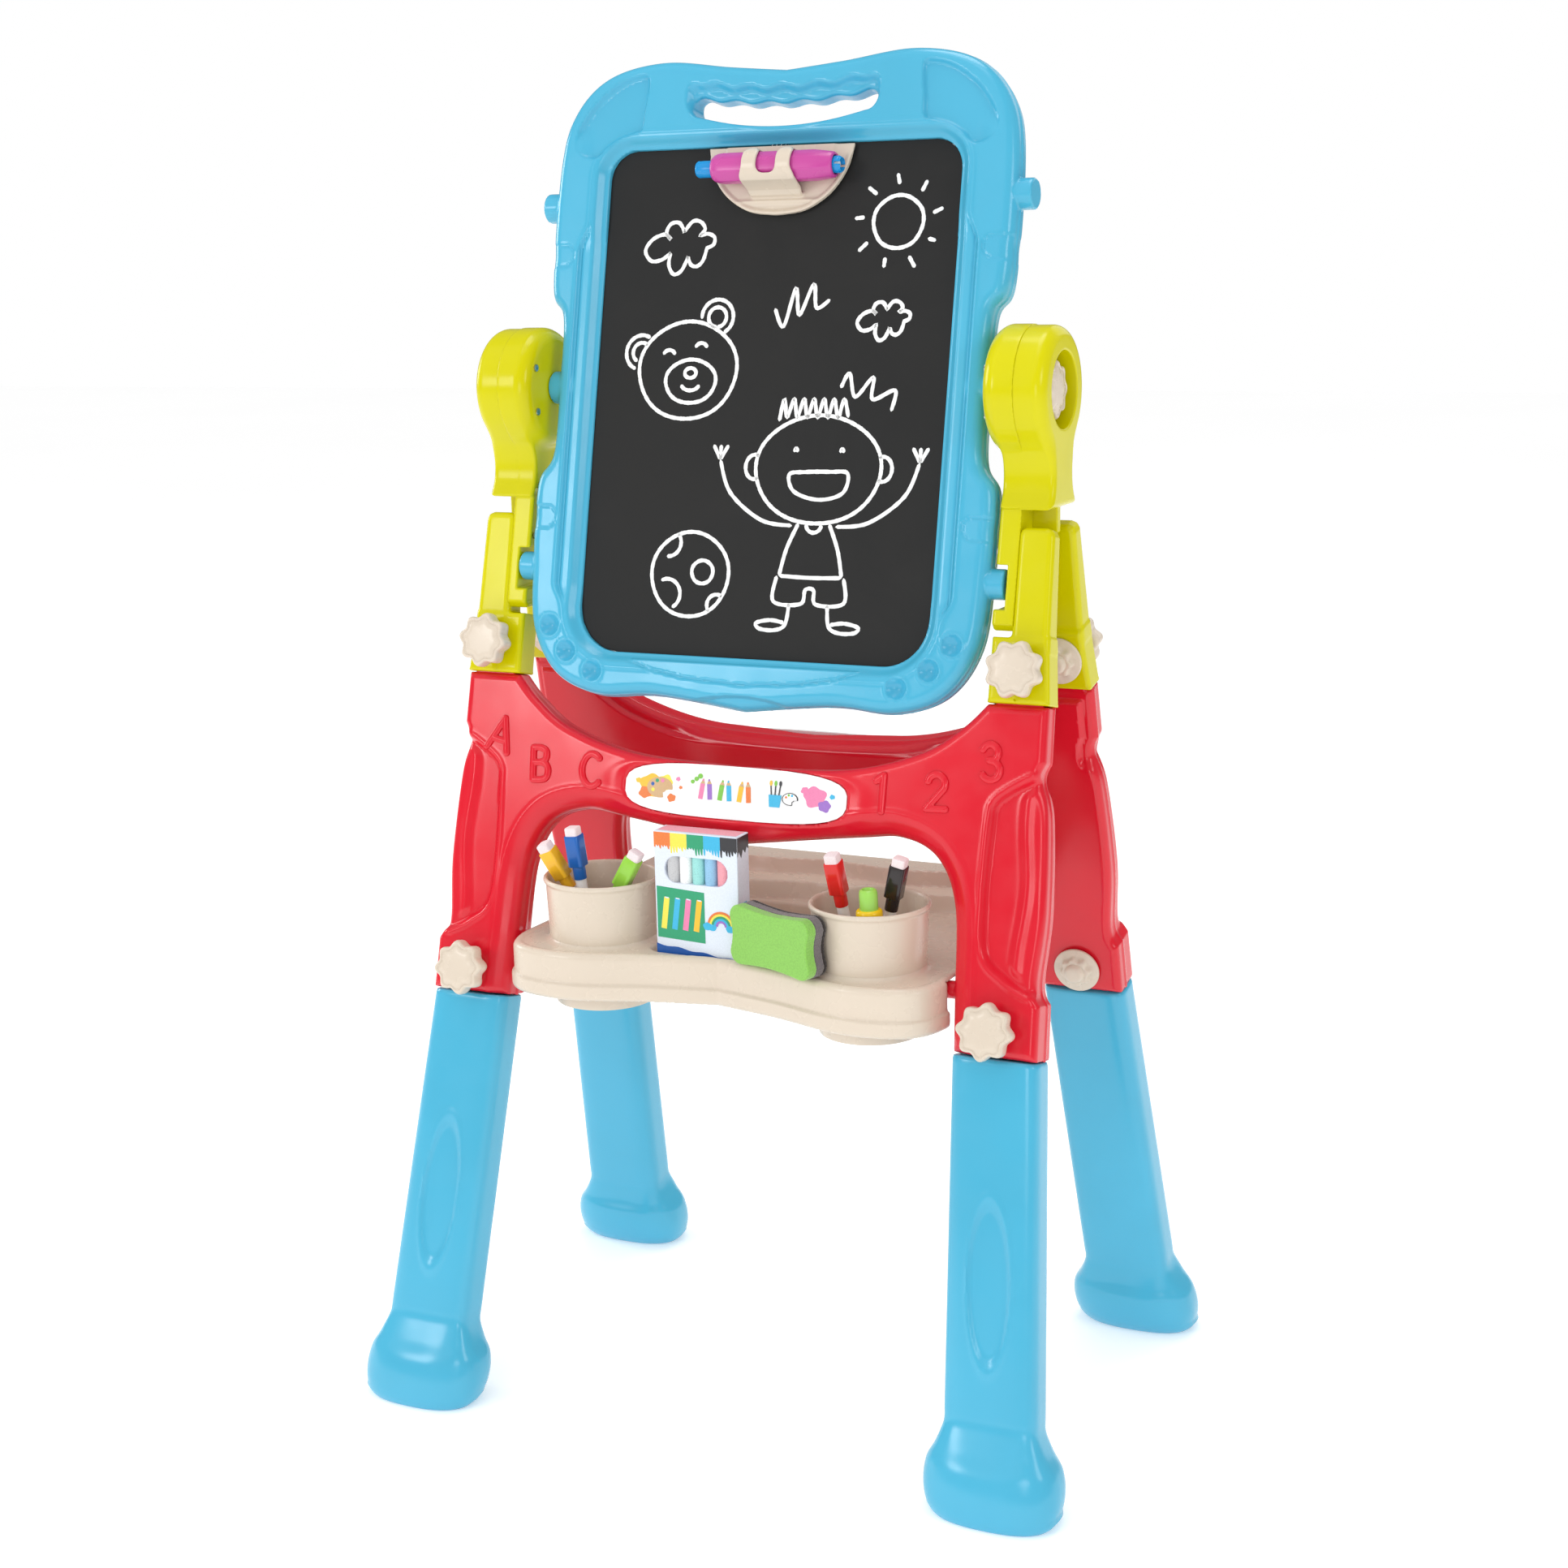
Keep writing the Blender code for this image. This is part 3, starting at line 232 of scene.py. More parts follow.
class Look:
    """Principled material whose noise lies in the object's own space."""

    def __init__(self, name, rough, metallic=0.0):
        self.material = bpy.data.materials.new(name)
        self.material.use_nodes = True
        self.tree = self.material.node_tree
        self.shader = self.tree.nodes["Principled BSDF"]
        self.place = self.tree.nodes.new("ShaderNodeTexCoord").outputs["Object"]
        fill_sockets(self.shader, {"Roughness": rough, "Metallic": metallic})

    def node(self, kind, source, socket, **values):
        """New node with its values set and the source wired to its socket."""
        node = self.tree.nodes.new("ShaderNode" + kind)
        fill_sockets(node, values)
        self.tree.links.new(source, node.inputs[socket])
        return node

    def wire(self, source, socket):
        self.tree.links.new(source, self.shader.inputs[socket])

    def noise(self, scale, detail=2.0, distortion=0.0):
        node = self.node("TexNoise", self.place, "Vector", Scale=scale, Detail=detail, Distortion=distortion)
        return node.outputs["Fac"]

    def colour(self, source, dark, light, start=0.35, end=0.65):
        """Base colour from dark to light as the source goes from start to end."""
        ramp = self.node("ValToRGB", source, "Fac")
        for stop, position, tone in zip(ramp.color_ramp.elements, (start, end), (dark, light)):
            stop.position, stop.color = position, (*tone, 1)
        self.wire(ramp.outputs["Color"], "Base Color")

    def rough(self, source, low, high):
        """Roughness from low to high over the source's middle range."""
        node = self.node("MapRange", source, "Value", From_Min=0.3, From_Max=0.7, To_Min=low, To_Max=high)
        self.wire(node.outputs["Result"], "Roughness")

    def relief(self, *layers):
        """Chain of bumps: (source, strength, distance in metres)."""
        normal = None
        for source, strength, distance in layers:
            node = self.node("Bump", source, "Height", Strength=strength, Distance=distance)
            if normal is not None:
                self.tree.links.new(normal, node.inputs["Normal"])
            normal = node.outputs["Normal"]
        self.wire(normal, "Normal")

    def done(self, **values):
        fill_sockets(self.shader, values)
        return self.material


def toned(colour, factor):
    return tuple(min(1.0, c * factor) for c in colour)


def plastic(name, colour, rough, tint=0.03, shine=0.5):
    """Moulded plastic: faint flow marks in the colour, orange peel and a fine grain."""
    look, peel = Look(name, rough), 0.014
    look.colour(look.noise(7.0, 3.0, 0.6), toned(colour, 1 - tint), toned(colour, 1 + tint))
    look.rough(look.noise(45.0, 4.0), rough * 0.82, rough * 1.22)
    look.relief((look.noise(230.0, 1.0), peel, 0.0004), (look.noise(2600.0), peel * 0.6, 0.00008))
    return look.done(IOR=1.5, Specular_IOR_Level=shine)


def foam(name, colour, scale, depth, rough=0.85):
    """Open-cell foam or felt: pits or fibres from cellular noise."""
    look = Look(name, rough)
    cells = look.node("TexVoronoi", look.place, "Vector", Scale=scale)
    grain = look.noise(scale * 0.6, 4.0)
    look.colour(grain, toned(colour, 0.88), toned(colour, 1.05), 0.3, 0.6)
    look.relief((cells.outputs["Distance"], 0.2, depth), (grain, 0.12, depth))
    return look.done(Sheen_Weight=0.3)


def chalkboard(name):
    """Slate-coloured sheet: fine tooth, and faint clouds where chalk was wiped off."""
    look = Look(name, 0.55)
    dust = look.noise(9.0, 6.0, 1.2)
    look.colour(dust, (0.016, 0.016, 0.016), (0.023, 0.0225, 0.022), 0.35, 0.75)
    look.rough(dust, 0.46, 0.6)
    look.relief((look.noise(2200.0, 3.0), 0.35, 0.00006))
    return look.done(Specular_IOR_Level=0.22)


def chalk(name, colour):
    """Dry chalk, broken up by the board's tooth."""
    look = Look(name, 0.9)
    grain = look.noise(1500.0, 3.0)
    look.colour(grain, toned(colour, 0.72), colour, 0.28, 0.46)
    look.relief((grain, 0.5, 0.0001))
    return look.done()


def glossy_sheet(name, colour):
    look = Look(name, 0.14)
    haze = look.noise(5.0, 4.0, 0.8)
    look.colour(haze, toned(colour, 0.975), colour)
    look.rough(haze, 0.1, 0.22)
    look.relief((look.noise(60.0), 0.05, 0.0003))
    return look.done()


def paper(name, colour, rough=0.4):
    """Printed carton or label stock: paper fibre under a thin varnish."""
    look = Look(name, rough)
    fibre = look.noise(900.0, 4.0, 0.4)
    look.colour(fibre, toned(colour, 0.93), colour)
    look.rough(look.noise(60.0), rough * 0.8, rough * 1.2)
    look.relief((fibre, 0.15, 0.00006))
    return look.done()


def steel(name):
    look = Look(name, 0.3, 1.0)
    brushed = look.noise(700.0, 3.0)
    look.colour(brushed, (0.42, 0.42, 0.43), (0.66, 0.66, 0.68))
    look.rough(brushed, 0.22, 0.42)
    look.relief((brushed, 0.2, 0.00005))
    return look.done()


LOOK = {
    "blue": plastic("blue_plastic", (0.068, 0.425, 0.63), 0.2),
    "red": plastic("red_plastic", (0.68, 0.008, 0.023), 0.2),
    "lime": plastic("lime_plastic", (0.635, 0.59, 0.0), 0.19, shine=0.28),
    "cream": plastic("cream_plastic", (0.68, 0.585, 0.475), 0.26, 0.015),
    "magenta": plastic("magenta_plastic", (0.56, 0.065, 0.33), 0.26),
    "deep_blue": plastic("deep_blue_plastic", (0.004, 0.27, 0.64), 0.24),
    "black_panel": chalkboard("chalkboard"),
    "white_panel": glossy_sheet("whiteboard", (0.9, 0.9, 0.9)),
    "steel": steel("zinc_steel"),
    "label": paper("label_stock", (0.93, 0.93, 0.93), 0.25),
    "carton": paper("carton_stock", (0.74, 0.8, 0.9), 0.38),
    "foam_green": foam("green_foam", (0.235, 0.53, 0.085), 1500.0, 0.0001),
    "foam_grey": foam("grey_foam", (0.15, 0.13, 0.135), 800.0, 0.0005),
    "felt_black": foam("black_felt", (0.03, 0.022, 0.02), 1400.0, 0.0007, 0.95),
    "white_barrel": plastic("marker_barrel", (0.85, 0.84, 0.84), 0.28, 0.015),
    "cap_felt": foam("cap_felt", (0.86, 0.74, 0.75), 2600.0, 0.0003),
    "marker_black": plastic("marker_black_plastic", (0.022, 0.016, 0.016), 0.16),
    "marker_lime": plastic("stubby_yellow_plastic", (0.9, 0.6, 0.01), 0.22),
    "tip_green": plastic("stubby_tip_plastic", (0.33, 0.66, 0.1), 0.24),
}
CAPS = {"yellow": (0.92, 0.5, 0.02), "blue": (0.008, 0.115, 0.44)}
CAPS |= {"green": (0.3, 0.63, 0.06), "red": (0.72, 0.02, 0.016)}
STICKS = {"white": (0.93, 0.93, 0.92), "grey": (0.56, 0.56, 0.57), "mint": (0.34, 0.72, 0.68)}
STICKS |= {"sky": (0.3, 0.55, 0.78), "pink": (0.85, 0.36, 0.42)}
INKS = {"orange": (0.8, 0.2, 0.04), "amber": (0.92, 0.52, 0.03), "yellow": (0.88, 0.76, 0.08)}
INKS |= {"green": (0.02, 0.34, 0.16), "leaf": (0.2, 0.55, 0.05), "sky": (0.04, 0.46, 0.74)}
INKS |= {"navy": (0.01, 0.1, 0.42), "pink": (0.82, 0.22, 0.42), "violet": (0.33, 0.16, 0.56)}
INKS |= {"ink": (0.03, 0.03, 0.035), "wood": (0.62, 0.4, 0.2)}
LOOK |= {f"marker_{cap}": plastic(f"marker_{cap}_plastic", tone, 0.18) for cap, tone in CAPS.items()}
LOOK |= {f"chalk_{stick}": chalk(f"chalk_{stick}", tone) for stick, tone in STICKS.items()}
LOOK |= {f"print_{ink}": paper(f"print_{ink}", tone, 0.35) for ink, tone in INKS.items()}

# ---- Making pieces --------------------------------------------------------------------------------


def add_object(name, data):
    obj = bpy.data.objects.new(name, data)
    bpy.context.scene.collection.objects.link(obj)
    return obj


def make_mesh(name, points, faces, looks, normals=None, face_looks=None):
    mesh = bpy.data.meshes.new(name)
    mesh.from_pydata(np.asarray(points).tolist(), [], [list(face) for face in faces])
    for look in looks:
        mesh.materials.append(LOOK[look])
    mesh.polygons.foreach_set("use_smooth", [True] * len(mesh.polygons))
    if face_looks is not None:
        mesh.polygons.foreach_set("material_index", face_looks)
    mesh.update()
    if normals is not None:
        mesh.normals_split_custom_set_from_vertices(np.asarray(normals).tolist())
    return mesh


def piece(name, mesh, body, place=None, nodes=()):
    """Puts a mesh on a body, in place of the CAD nodes that it stands for."""
    if place is not None:
        mesh = mesh.copy()
        mesh.transform(place)
    obj = add_object(name, mesh)
    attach(obj, body)
    if nodes:
        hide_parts(*nodes)
    return obj


def at_corners(kind, right, left, node):
    """The right-hand mesh and its mirror image on both sides of both frames."""
    for end, place, names in ENDS:
        for side, mesh in ((1, right), (-1, left)):
            corner = f"{end}_{names[side]}"
            piece(f"{kind}_{corner}", mesh, f"{end}_frame", place, [f"{node}_{corner}"])


def moulded(name, field, low, high, step, look):
    points, faces, normals = skin(field, low, high, step)
    return make_mesh(name, points, faces.tolist(), [look], normals)


def flipped(mesh, name):
    """The mesh mirrored in X, with its faces turned back outwards."""
    points = np.empty(len(mesh.vertices) * 3)
    mesh.vertices.foreach_get("co", points)
    copy = bpy.data.meshes.new(name)
    faces = [list(p.vertices)[::-1] for p in mesh.polygons]
    copy.from_pydata((points.reshape(-1, 3) * (-1, 1, 1)).tolist(), [], faces)
    for material in mesh.materials:
        copy.materials.append(material)
    copy.polygons.foreach_set("use_smooth", [True] * len(faces))
    copy.update()
    return copy


def sharpen(mesh, angle=35):
    """Marks edges steeper than the angle as sharp."""
    mesh.set_sharp_from_angle(angle=math.radians(angle))
    return mesh


def loft(rings):
    """(points, faces) through rings of equal count, each counter-clockwise seen from the last ring."""
    count = len(rings[0])
    points = np.vstack(rings).astype(float)
    faces = []
    for level in range(len(rings) - 1):
        a, b = level * count, (level + 1) * count
        for i in range(count):
            j = (i + 1) % count
            faces.append([a + i, a + j, b + j, b + i])
    for level in (0, len(rings) - 1):
        middle = len(points)
        points = np.vstack([points, points[level * count : (level + 1) * count].mean(0)])
        for i in range(count):
            pair = [level * count + i, level * count + (i + 1) % count]
            faces.append([middle, *(pair if level else pair[::-1])])
    return points, faces


def turned(name, profile, sides, look, angle=60):
    """Body of revolution, or lobed like a star, from its profile: rows of radius, height and lobe."""
    rings = [ring(radius, height, sides, 2.0, *lobe) for radius, height, *lobe in profile]
    return sharpen(make_mesh(name, *loft(rings), [look]), angle)


def ring(radius, height, sides, power=2.0, lobe=0.0, lobes=8, other=None):
    """Ring of points: a circle, a squircle or a lobed circle."""
    angle = 2 * np.pi * np.arange(sides) / sides
    c, s = np.cos(angle), np.sin(angle)
    x = radius * np.sign(c) * np.abs(c) ** (2 / power)
    y = (other or radius) * np.sign(s) * np.abs(s) ** (2 / power)
    grow = 1 + lobe / radius * np.cos(lobes * angle)
    return np.stack([x * grow, y * grow, np.full(sides, height)], 1)


def even(section, count):
    """The closed ring of points resampled at equal spacing."""
    loop = np.vstack([section, section[:1]])
    travelled = np.concatenate([[0], np.cumsum(np.linalg.norm(np.diff(loop, axis=0), axis=1))])
    spots = travelled[-1] * np.arange(count) / count
    return np.stack([np.interp(spots, travelled, loop[:, i]) for i in range(3)], 1)


def arc_points(cx, cz, rx, rz, start, end, count=14):
    angle = np.radians(np.linspace(start, end, count))
    return np.stack([cx + rx * np.cos(angle), cz + rz * np.sin(angle)], 1)


# ---- Floor, light and camera ----------------------------------------------------------------------


def set_stage():
    world = bpy.context.scene.world = bpy.data.worlds.new("studio")
    world.use_nodes = True
    nodes, links = world.node_tree.nodes, world.node_tree.links
    backdrop, seen = nodes["Background"], nodes.new("ShaderNodeLightPath")
    level, mirrored_part = nodes.new("ShaderNodeMapRange"), nodes.new("ShaderNodeMath")
    fill_sockets(backdrop, {"Color": (1.0, 1.0, 1.0, 1)})
    fill_sockets(level, {"To Min": 0.72, "To Max": 1.0})
    mirrored_part.operation = "MULTIPLY_ADD"
    mirrored_part.inputs[1].default_value = -0.5
    links.new(seen.outputs["Is Camera Ray"], level.inputs["Value"])
    links.new(seen.outputs["Is Glossy Ray"], mirrored_part.inputs[0])
    links.new(level.outputs["Result"], mirrored_part.inputs[2])
    links.new(mirrored_part.outputs["Value"], backdrop.inputs["Strength"])
    bpy.context.scene.view_settings.view_transform = "Standard"
    look = Look("floor_paper", 0.7)
    look.colour(look.noise(0.7, 3.0), (0.925, 0.925, 0.925), (0.935, 0.935, 0.935))
    look.relief((look.noise(500.0, 3.0), 0.1, 0.0002))
    mesh, size = bpy.data.meshes.new("floor"), 12.0
    corners = [(-size, -size, 0), (size, -size, 0), (size, size, 0), (-size, size, 0)]
    mesh.from_pydata(corners, [], [(0, 1, 2, 3)])
    mesh.materials.append(look.done(Emission_Color=(1, 1, 1, 1), Emission_Strength=0.29))
    add_object("floor", mesh)
    lamps = (
        ("key", (-1.6, -2.65, 1.45), 0.9, 13.0),
        ("fill", (2.6, -1.0, 1.6), 1.0, 9.0),
        ("front", (1.05, -2.2, 0.85), 0.7, 4.0),
        ("side", (-2.6, 0.12, 1.3), 1.0, 14.0),
        ("top", (0.2, -0.4, 3.0), 1.2, 4.0),
        ("over", (0.0, 0.42, 2.6), 1.0, 9.0),
        ("back", (0.6, 2.6, 2.0), 2.0, 8.0),
    )
    for name, spot, width, energy in lamps:
        lamp = bpy.data.lights.new(name, "AREA")
        lamp.shape, lamp.size, lamp.energy = "DISK", width, energy
        obj = add_object(name, lamp)
        obj.location = spot
        aim = Vector((0, 0, 0.5)) - Vector(spot)
        obj.rotation_euler = aim.to_track_quat("-Z", "Y").to_euler()
    sky = bpy.data.lights.new("soft_sky", "SUN")
    sky.energy, sky.angle = 0.45, 1.2
    add_object("soft_sky", sky).rotation_euler = (math.radians(32), math.radians(-22), 0)


def set_camera():
    azimuth, elevation, roll = math.radians(25.62), math.radians(12.56), math.radians(-1.33)
    level = math.cos(elevation)
    ahead = Vector((-math.sin(azimuth) * level, math.cos(azimuth) * level, -math.sin(elevation)))
    right = Vector((math.cos(azimuth), math.sin(azimuth), 0))
    up = right.cross(ahead)
    x_axis = math.cos(roll) * right + math.sin(roll) * up
    y_axis = -math.sin(roll) * right + math.cos(roll) * up
    lens = bpy.data.cameras.new("camera")
    lens.lens, lens.sensor_width = 55.14, 36.0
    camera = bpy.context.scene.camera = add_object("camera", lens)
    turn = Matrix((x_axis, y_axis, -ahead)).transposed().to_4x4()
    camera.matrix_world = Matrix.Translation((0.7604, -1.5755, 0.8506)) @ turn


# ---- Board ----------------------------------------------------------------------------------------


def board_fields():
    """Distance fields of the board's edge, handle slot, upper corner hollows and lower lens."""
    half = mm(
        "0 227.5, 45 231.8, 99.5 237.7, 145 228, 172 201, 181.5 160, 181.2 73, 170.8 50, 170 0, 170.8 -50, "
        "182.2 -73, 182.2 -130, 177.5 -180, 156 -214, 119 -228.2, 70 -226.2, 0 -233.5"
    )
    reach = 0.0655

    def lower(x):
        return 0.1857 + 0.009 * (x / 0.066) ** 2

    def upper(x):
        return 0.2048 + 0.0045 * (x / 0.062) ** 2

    end, middle = (upper(reach) - lower(reach)) / 2, (upper(reach) + lower(reach)) / 2
    span = np.linspace(1, -1, 61)[1:-1]
    wavy = upper(reach * span) - 0.0022 * np.sin(2.5 * math.pi * (1 - span)) ** 2
    sides = [arc_points(reach, middle, end, end, -90, 90), np.stack([reach * span, wavy], 1)]
    sides += [arc_points(-reach, middle, end, end, 90, 270)]
    sides += [np.stack([-reach * span, lower(reach * span)], 1)]
    corner = mm(
        "108.5 223, 116 226.2, 132.5 220.8, 150 208, 162 192, 166.8 178, 161 170.5, 148.7 168, 140 175.5, "
        "130 181.5, 117.5 185, 111.8 187.2, 110.6 200"
    )
    lens = mm("-90 -200.5, 90 -200.5, 72 -206, 45 -210.3, 0 -213, -45 -210.3, -72 -206")
    return (
        outline_field(mirrored(curve_through(half, 12))),
        outline_field(np.vstack(sides), 0.0005),
        outline_field(curve_through(corner, 10, True), 0.0005),
        outline_field(lens, 0.0006),
    )


def panel_distance(x, z):
    """Distance from the panels' opening, which has small upper corners and large lower ones."""
    upper = rounded_box(x, z, -0.14, 0.14, -0.4, 0.1741, 0.022)
    lower = rounded_box(x, z, -0.14, 0.14, -0.1958, 0.4, 0.034)
    return np.where(z > 0, upper, lower)


def make_board():
    edge, slot, corner, lens = board_fields()
    grip_wave = 0.0262
    clamp_heights = (0.096, -0.098)

    def height(x, z):
        side_x = np.abs(x)
        away = panel_distance(x, z)
        side = smooth(0.126, 0.142, side_x) * smooth(-0.166, -0.146, z) * (1 - smooth(0.098, 0.122, z))
        ridge = 0.0092 + 0.0075 * side
        h = 0.014 - 0.0066 * (1 - smooth(0.0002, 0.0085, away))
        h = h - 0.0016 * side * (1 - smooth(ridge - 0.001, ridge + 0.0006, away))
        h = h - 0.002 * side * bell(away - ridge, 0.0014) + 0.0006 * bell(away - ridge - 0.002, 0.0016)
        inside = lens(x, z)
        h = h + (0.0126 - h) * smooth(0.0012, -0.001, inside)
        h = h - 0.0017 * bell(inside - 0.0014, 0.0011) * smooth(-0.201, -0.204, z)
        scoop = np.hypot(x / 0.047, (z + 0.235) / 0.013)
        h = h - 0.0036 * smooth(1.03, 0.8, scoop)
        for px, pz in mm("160.3 -178.6, 144.5 -196.7, 121.4 -210.4"):
            r = np.hypot(side_x - px, z - pz)
            h = h - 0.0046 * np.maximum(0, 1 - (r / 0.0078) ** 2) + 0.0005 * bell(r - 0.0088, 0.0012)
        fade = 1 - 0.8 * smooth(0.15, 0.166, side_x) * smooth(0.192, 0.178, z)
        h = h - 0.0034 * fade * smooth(0.0016, -0.002, corner(side_x, z))
        for pz in clamp_heights:
            thumb = np.hypot(np.maximum(0.1695 - side_x, 0), z - pz) - 0.008
            h = h - 0.0008 * bell(thumb, 0.0009) - 0.0006 * smooth(0, -0.001, thumb)
        sag = 0.006 * (x / 0.07) ** 2
        top = 0.215 + 0.0013 * np.cos(2 * np.pi * x / grip_wave)
        cove = rounded_box(x, z - sag, -0.0775, 0.0775, 0.188, top, 0.0115)
        return h - 0.0052 * smooth(0.0003, -0.0062, cove)

    def field(x, y, z):
        h = height(x, z)
        rim = edge(x, z) + 0.0006 - 0.0008 * bell(y, 0.0018)
        for pz in clamp_heights:
            rim = rim + 0.0007 * bell(z - pz, 0.0075)
        d = slab(rim, -h, h, y, 0.0088)
        d = cut(d, slot(x, z), 0.004)
        d = cut(d, panel_distance(x, z) + 0.0004, 0.001)
        side_x = np.abs(x)
        for pz in (-0.1342, 0.1342):
            pin = rod_field(y, z - pz, side_x, 0.0108 - 0.0005 * bell(y, 0.0012), 0.16, 0.1926, 0.0012)
            d = union(d, pin, 0.0012)
        return union(d, rod_field(y, z, side_x, 0.012, 0.156, 0.1772, 0.0008), 0.002)

    low, high = (-0.1965, -0.0175, -0.2375), (0.1965, 0.0175, 0.2425)
    mesh = moulded("board_shell", field, low, high, 0.0016, "blue")
    piece("board_shell", mesh, "board", BOARD, ["board_frame"])


# ---- Arches with their glyphs ---------------------------------------------------------------------


def arch_fields():
    """Distance fields of the arch's outline, the opening between its legs and the leaf on each side."""
    outside = mm("232.5 237, 229 249, 235.5 275, 239 340, 236.2 388, 241.5 402")
    inside = curve_through(mm("176 398, 171.5 340, 156 308, 128 295.8, 95 298.2, 0 311"), 14)
    top = curve_through([*mm("0 255, 85 250.8, 140 235.5, 169 216.5"), (0.187, FRAME_TOP)], 12)
    feet = [(0.2425, FRAME_BOTTOM), (0.1788, FRAME_BOTTOM)]
    outline = np.vstack([top, [(0.2318, FRAME_TOP)], curve_through(outside, 12), feet, inside])
    opening = np.vstack([[(0.0, 0.5), (0.1788, 0.5), (0.1788, FRAME_BOTTOM)], inside])
    leaf = mm("222.9 250, 208.2 258.9, 199 267.5, 197 280.6, 195.7 331.2, 199.2 370, 215.3 385.8, 231 394")
    leaf = np.vstack([curve_through(leaf, 12), [(0.262, 0.4), (0.262, 0.236)]])
    return outline_field(mirrored(outline)), outline_field(mirrored(opening)), outline_field(leaf)


def label_distance(x, along):
    """Distance from the label's lens shape."""
    a, b, power = 0.089, 0.0195, 3.2
    r = (np.abs(x / a) ** power + np.abs((along - LABEL_ALONG) / b) ** power) ** (1 / power)
    return (r - 1) * b


def make_arches():
    edge, opening, leaf = arch_fields()

    def field(x, depth, up):
        along = -up
        side_x = np.abs(x)
        share = (along - FRAME_TOP) / (FRAME_BOTTOM - FRAME_TOP)
        back = FRAME_TOP_DEPTH + share * (FRAME_BOTTOM_DEPTH - FRAME_TOP_DEPTH)
        band = opening(x, along)
        front = 0.0062 * (1 - smooth(0.0, 0.015, band)) - 0.0006 * bell(band - 0.0165, 0.002)
        side = leaf(side_x, along)
        front = front + 0.0052 * smooth(0.0022, -0.003, side) - 0.0006 * bell(side - 0.0034, 0.0018)
        spine = side_x - 0.2235 - 0.002 * np.cos((along - 0.325) * 60)
        front = front - 0.0022 * bell(spine, 0.0045) * smooth(-0.003, -0.01, side)
        rim = label_distance(x, along)
        front = front + 0.0026 * smooth(0.0004, -0.0004, rim) - 0.0007 * bell(rim - 0.0022, 0.0016)
        outer = edge(x, along) + 0.0005 - 0.0008 * bell(depth - 0.6 * back, 0.0018)
        ledge = 0.0045 * smooth(0.011, 0.007, -edge(x, along)) * smooth(0.262, 0.25, along)
        d = slab(outer, front, back - ledge, depth, 0.0058)
        tenon = rounded_box(side_x, along, 0.193, 0.2265, 0.1615, 0.21, 0.001)
        d = union(d, slab(tenon, 0.004, 0.0195, depth, 0.001), 0.0006)
        y = depth * math.cos(LEG_TILT) - along * math.sin(LEG_TILT) - APEX_Y
        z = APEX_Z - along * math.cos(LEG_TILT) - depth * math.sin(LEG_TILT)
        return union(d, rod_field(y + 0.085, z - 0.3453, side_x, 0.0063, 0.156, 0.185, 0.001), 0.001)

    mesh = moulded("arch", field, (-0.246, -0.004, -0.444), (0.246, 0.04, -0.158), 0.0017, "red")
    glyphs = make_glyph_mesh()
    for end, place, _ in ENDS:
        piece(f"arch_{end}", mesh, f"{end}_frame", place, [f"{end}_frame"])
        piece(f"glyphs_{end}", glyphs, f"{end}_frame", place)


def glyph_strokes():
    """Teaching glyphs in millimetres, about 26 tall: (strokes, centre x, centre along, turn in degrees)."""
    bowl = [(-6, 12), (0, 12), (4.5, 10), (5.4, 6.2), (3.8, 2.6), (0, 1), (-6, 1)]
    belly = [(0, 1), (5.0, -0.6), (7.0, -5.6), (5.0, -10.6), (0, -12), (-6, -12)]
    two = np.vstack([arc_points(0, 5.6, 6.4, 6.6, 165, -28), [(-6.8, -11.8), (7.2, -11.8)]])
    three = np.vstack([arc_points(0, 6.0, 5.8, 6.0, 155, -60, 12), [(-0.6, 0.9)]])
    return (
        ([[(-9, -12), (0, 12.5), (9, -12)], [(-5.6, -4.2), (5.6, -4.2)]], -0.1979, 0.2446, 13),
        ([[(-6, 12), (-6, -12)], curve_through(bowl, 4), curve_through(belly, 4)], -0.1619, 0.2643, -3),
        ([arc_points(1.5, 0, 8.6, 12.0, 48, 312, 22)], -0.1188, 0.2661, -2),
        ([[(-4.5, 8.2), (0.8, 12.5), (0.8, -13)]], 0.1149, 0.2657, 0),
        ([two], 0.1555, 0.262, -2),
        ([three, arc_points(0, -6.0, 6.6, 6.6, 82, -155, 14)], 0.1936, 0.2383, -6),
    )


def make_glyph_mesh():
    """Raised A B C and 1 2 3 on the arch's face."""
    points, faces, normals, count = [], [], [], 0
    for strokes, cx, along, turn in glyph_strokes():
        c, s = math.cos(math.radians(turn)), math.sin(math.radians(turn))
        placed = []
        for stroke in strokes:
            right, up = (np.array(stroke) * 0.001).T
            placed.append(np.stack([cx + right * c + up * s, -along - right * s + up * c], 1))

        def field(x, depth, z, placed=placed):
            near = np.minimum.reduce([to_segments(x, z, stroke, False)[0] for stroke in placed])
            crown = -0.0016 - 0.0006 * bell(near, 0.0015)
            return slab(near - 0.0026, crown, 0.0015, depth, 0.001)

        low, high = (cx - 0.015, -0.0035, -along - 0.0185), (cx + 0.015, 0.0025, -along + 0.0185)
        p, f, n = skin(field, low, high, 0.00075)
        points.append(p)
        faces.append(f + count)
        normals.append(n)
        count += len(p)
    return make_mesh("glyphs", np.vstack(points), np.vstack(faces).tolist(), ["red"], np.vstack(normals))


# ---- Hubs and brackets ----------------------------------------------------------------------------


def outer_face(z):
    """Y of the folding frames' outer face at a height."""
    return APEX_Y + (APEX_Z - z) * math.tan(LEG_TILT)


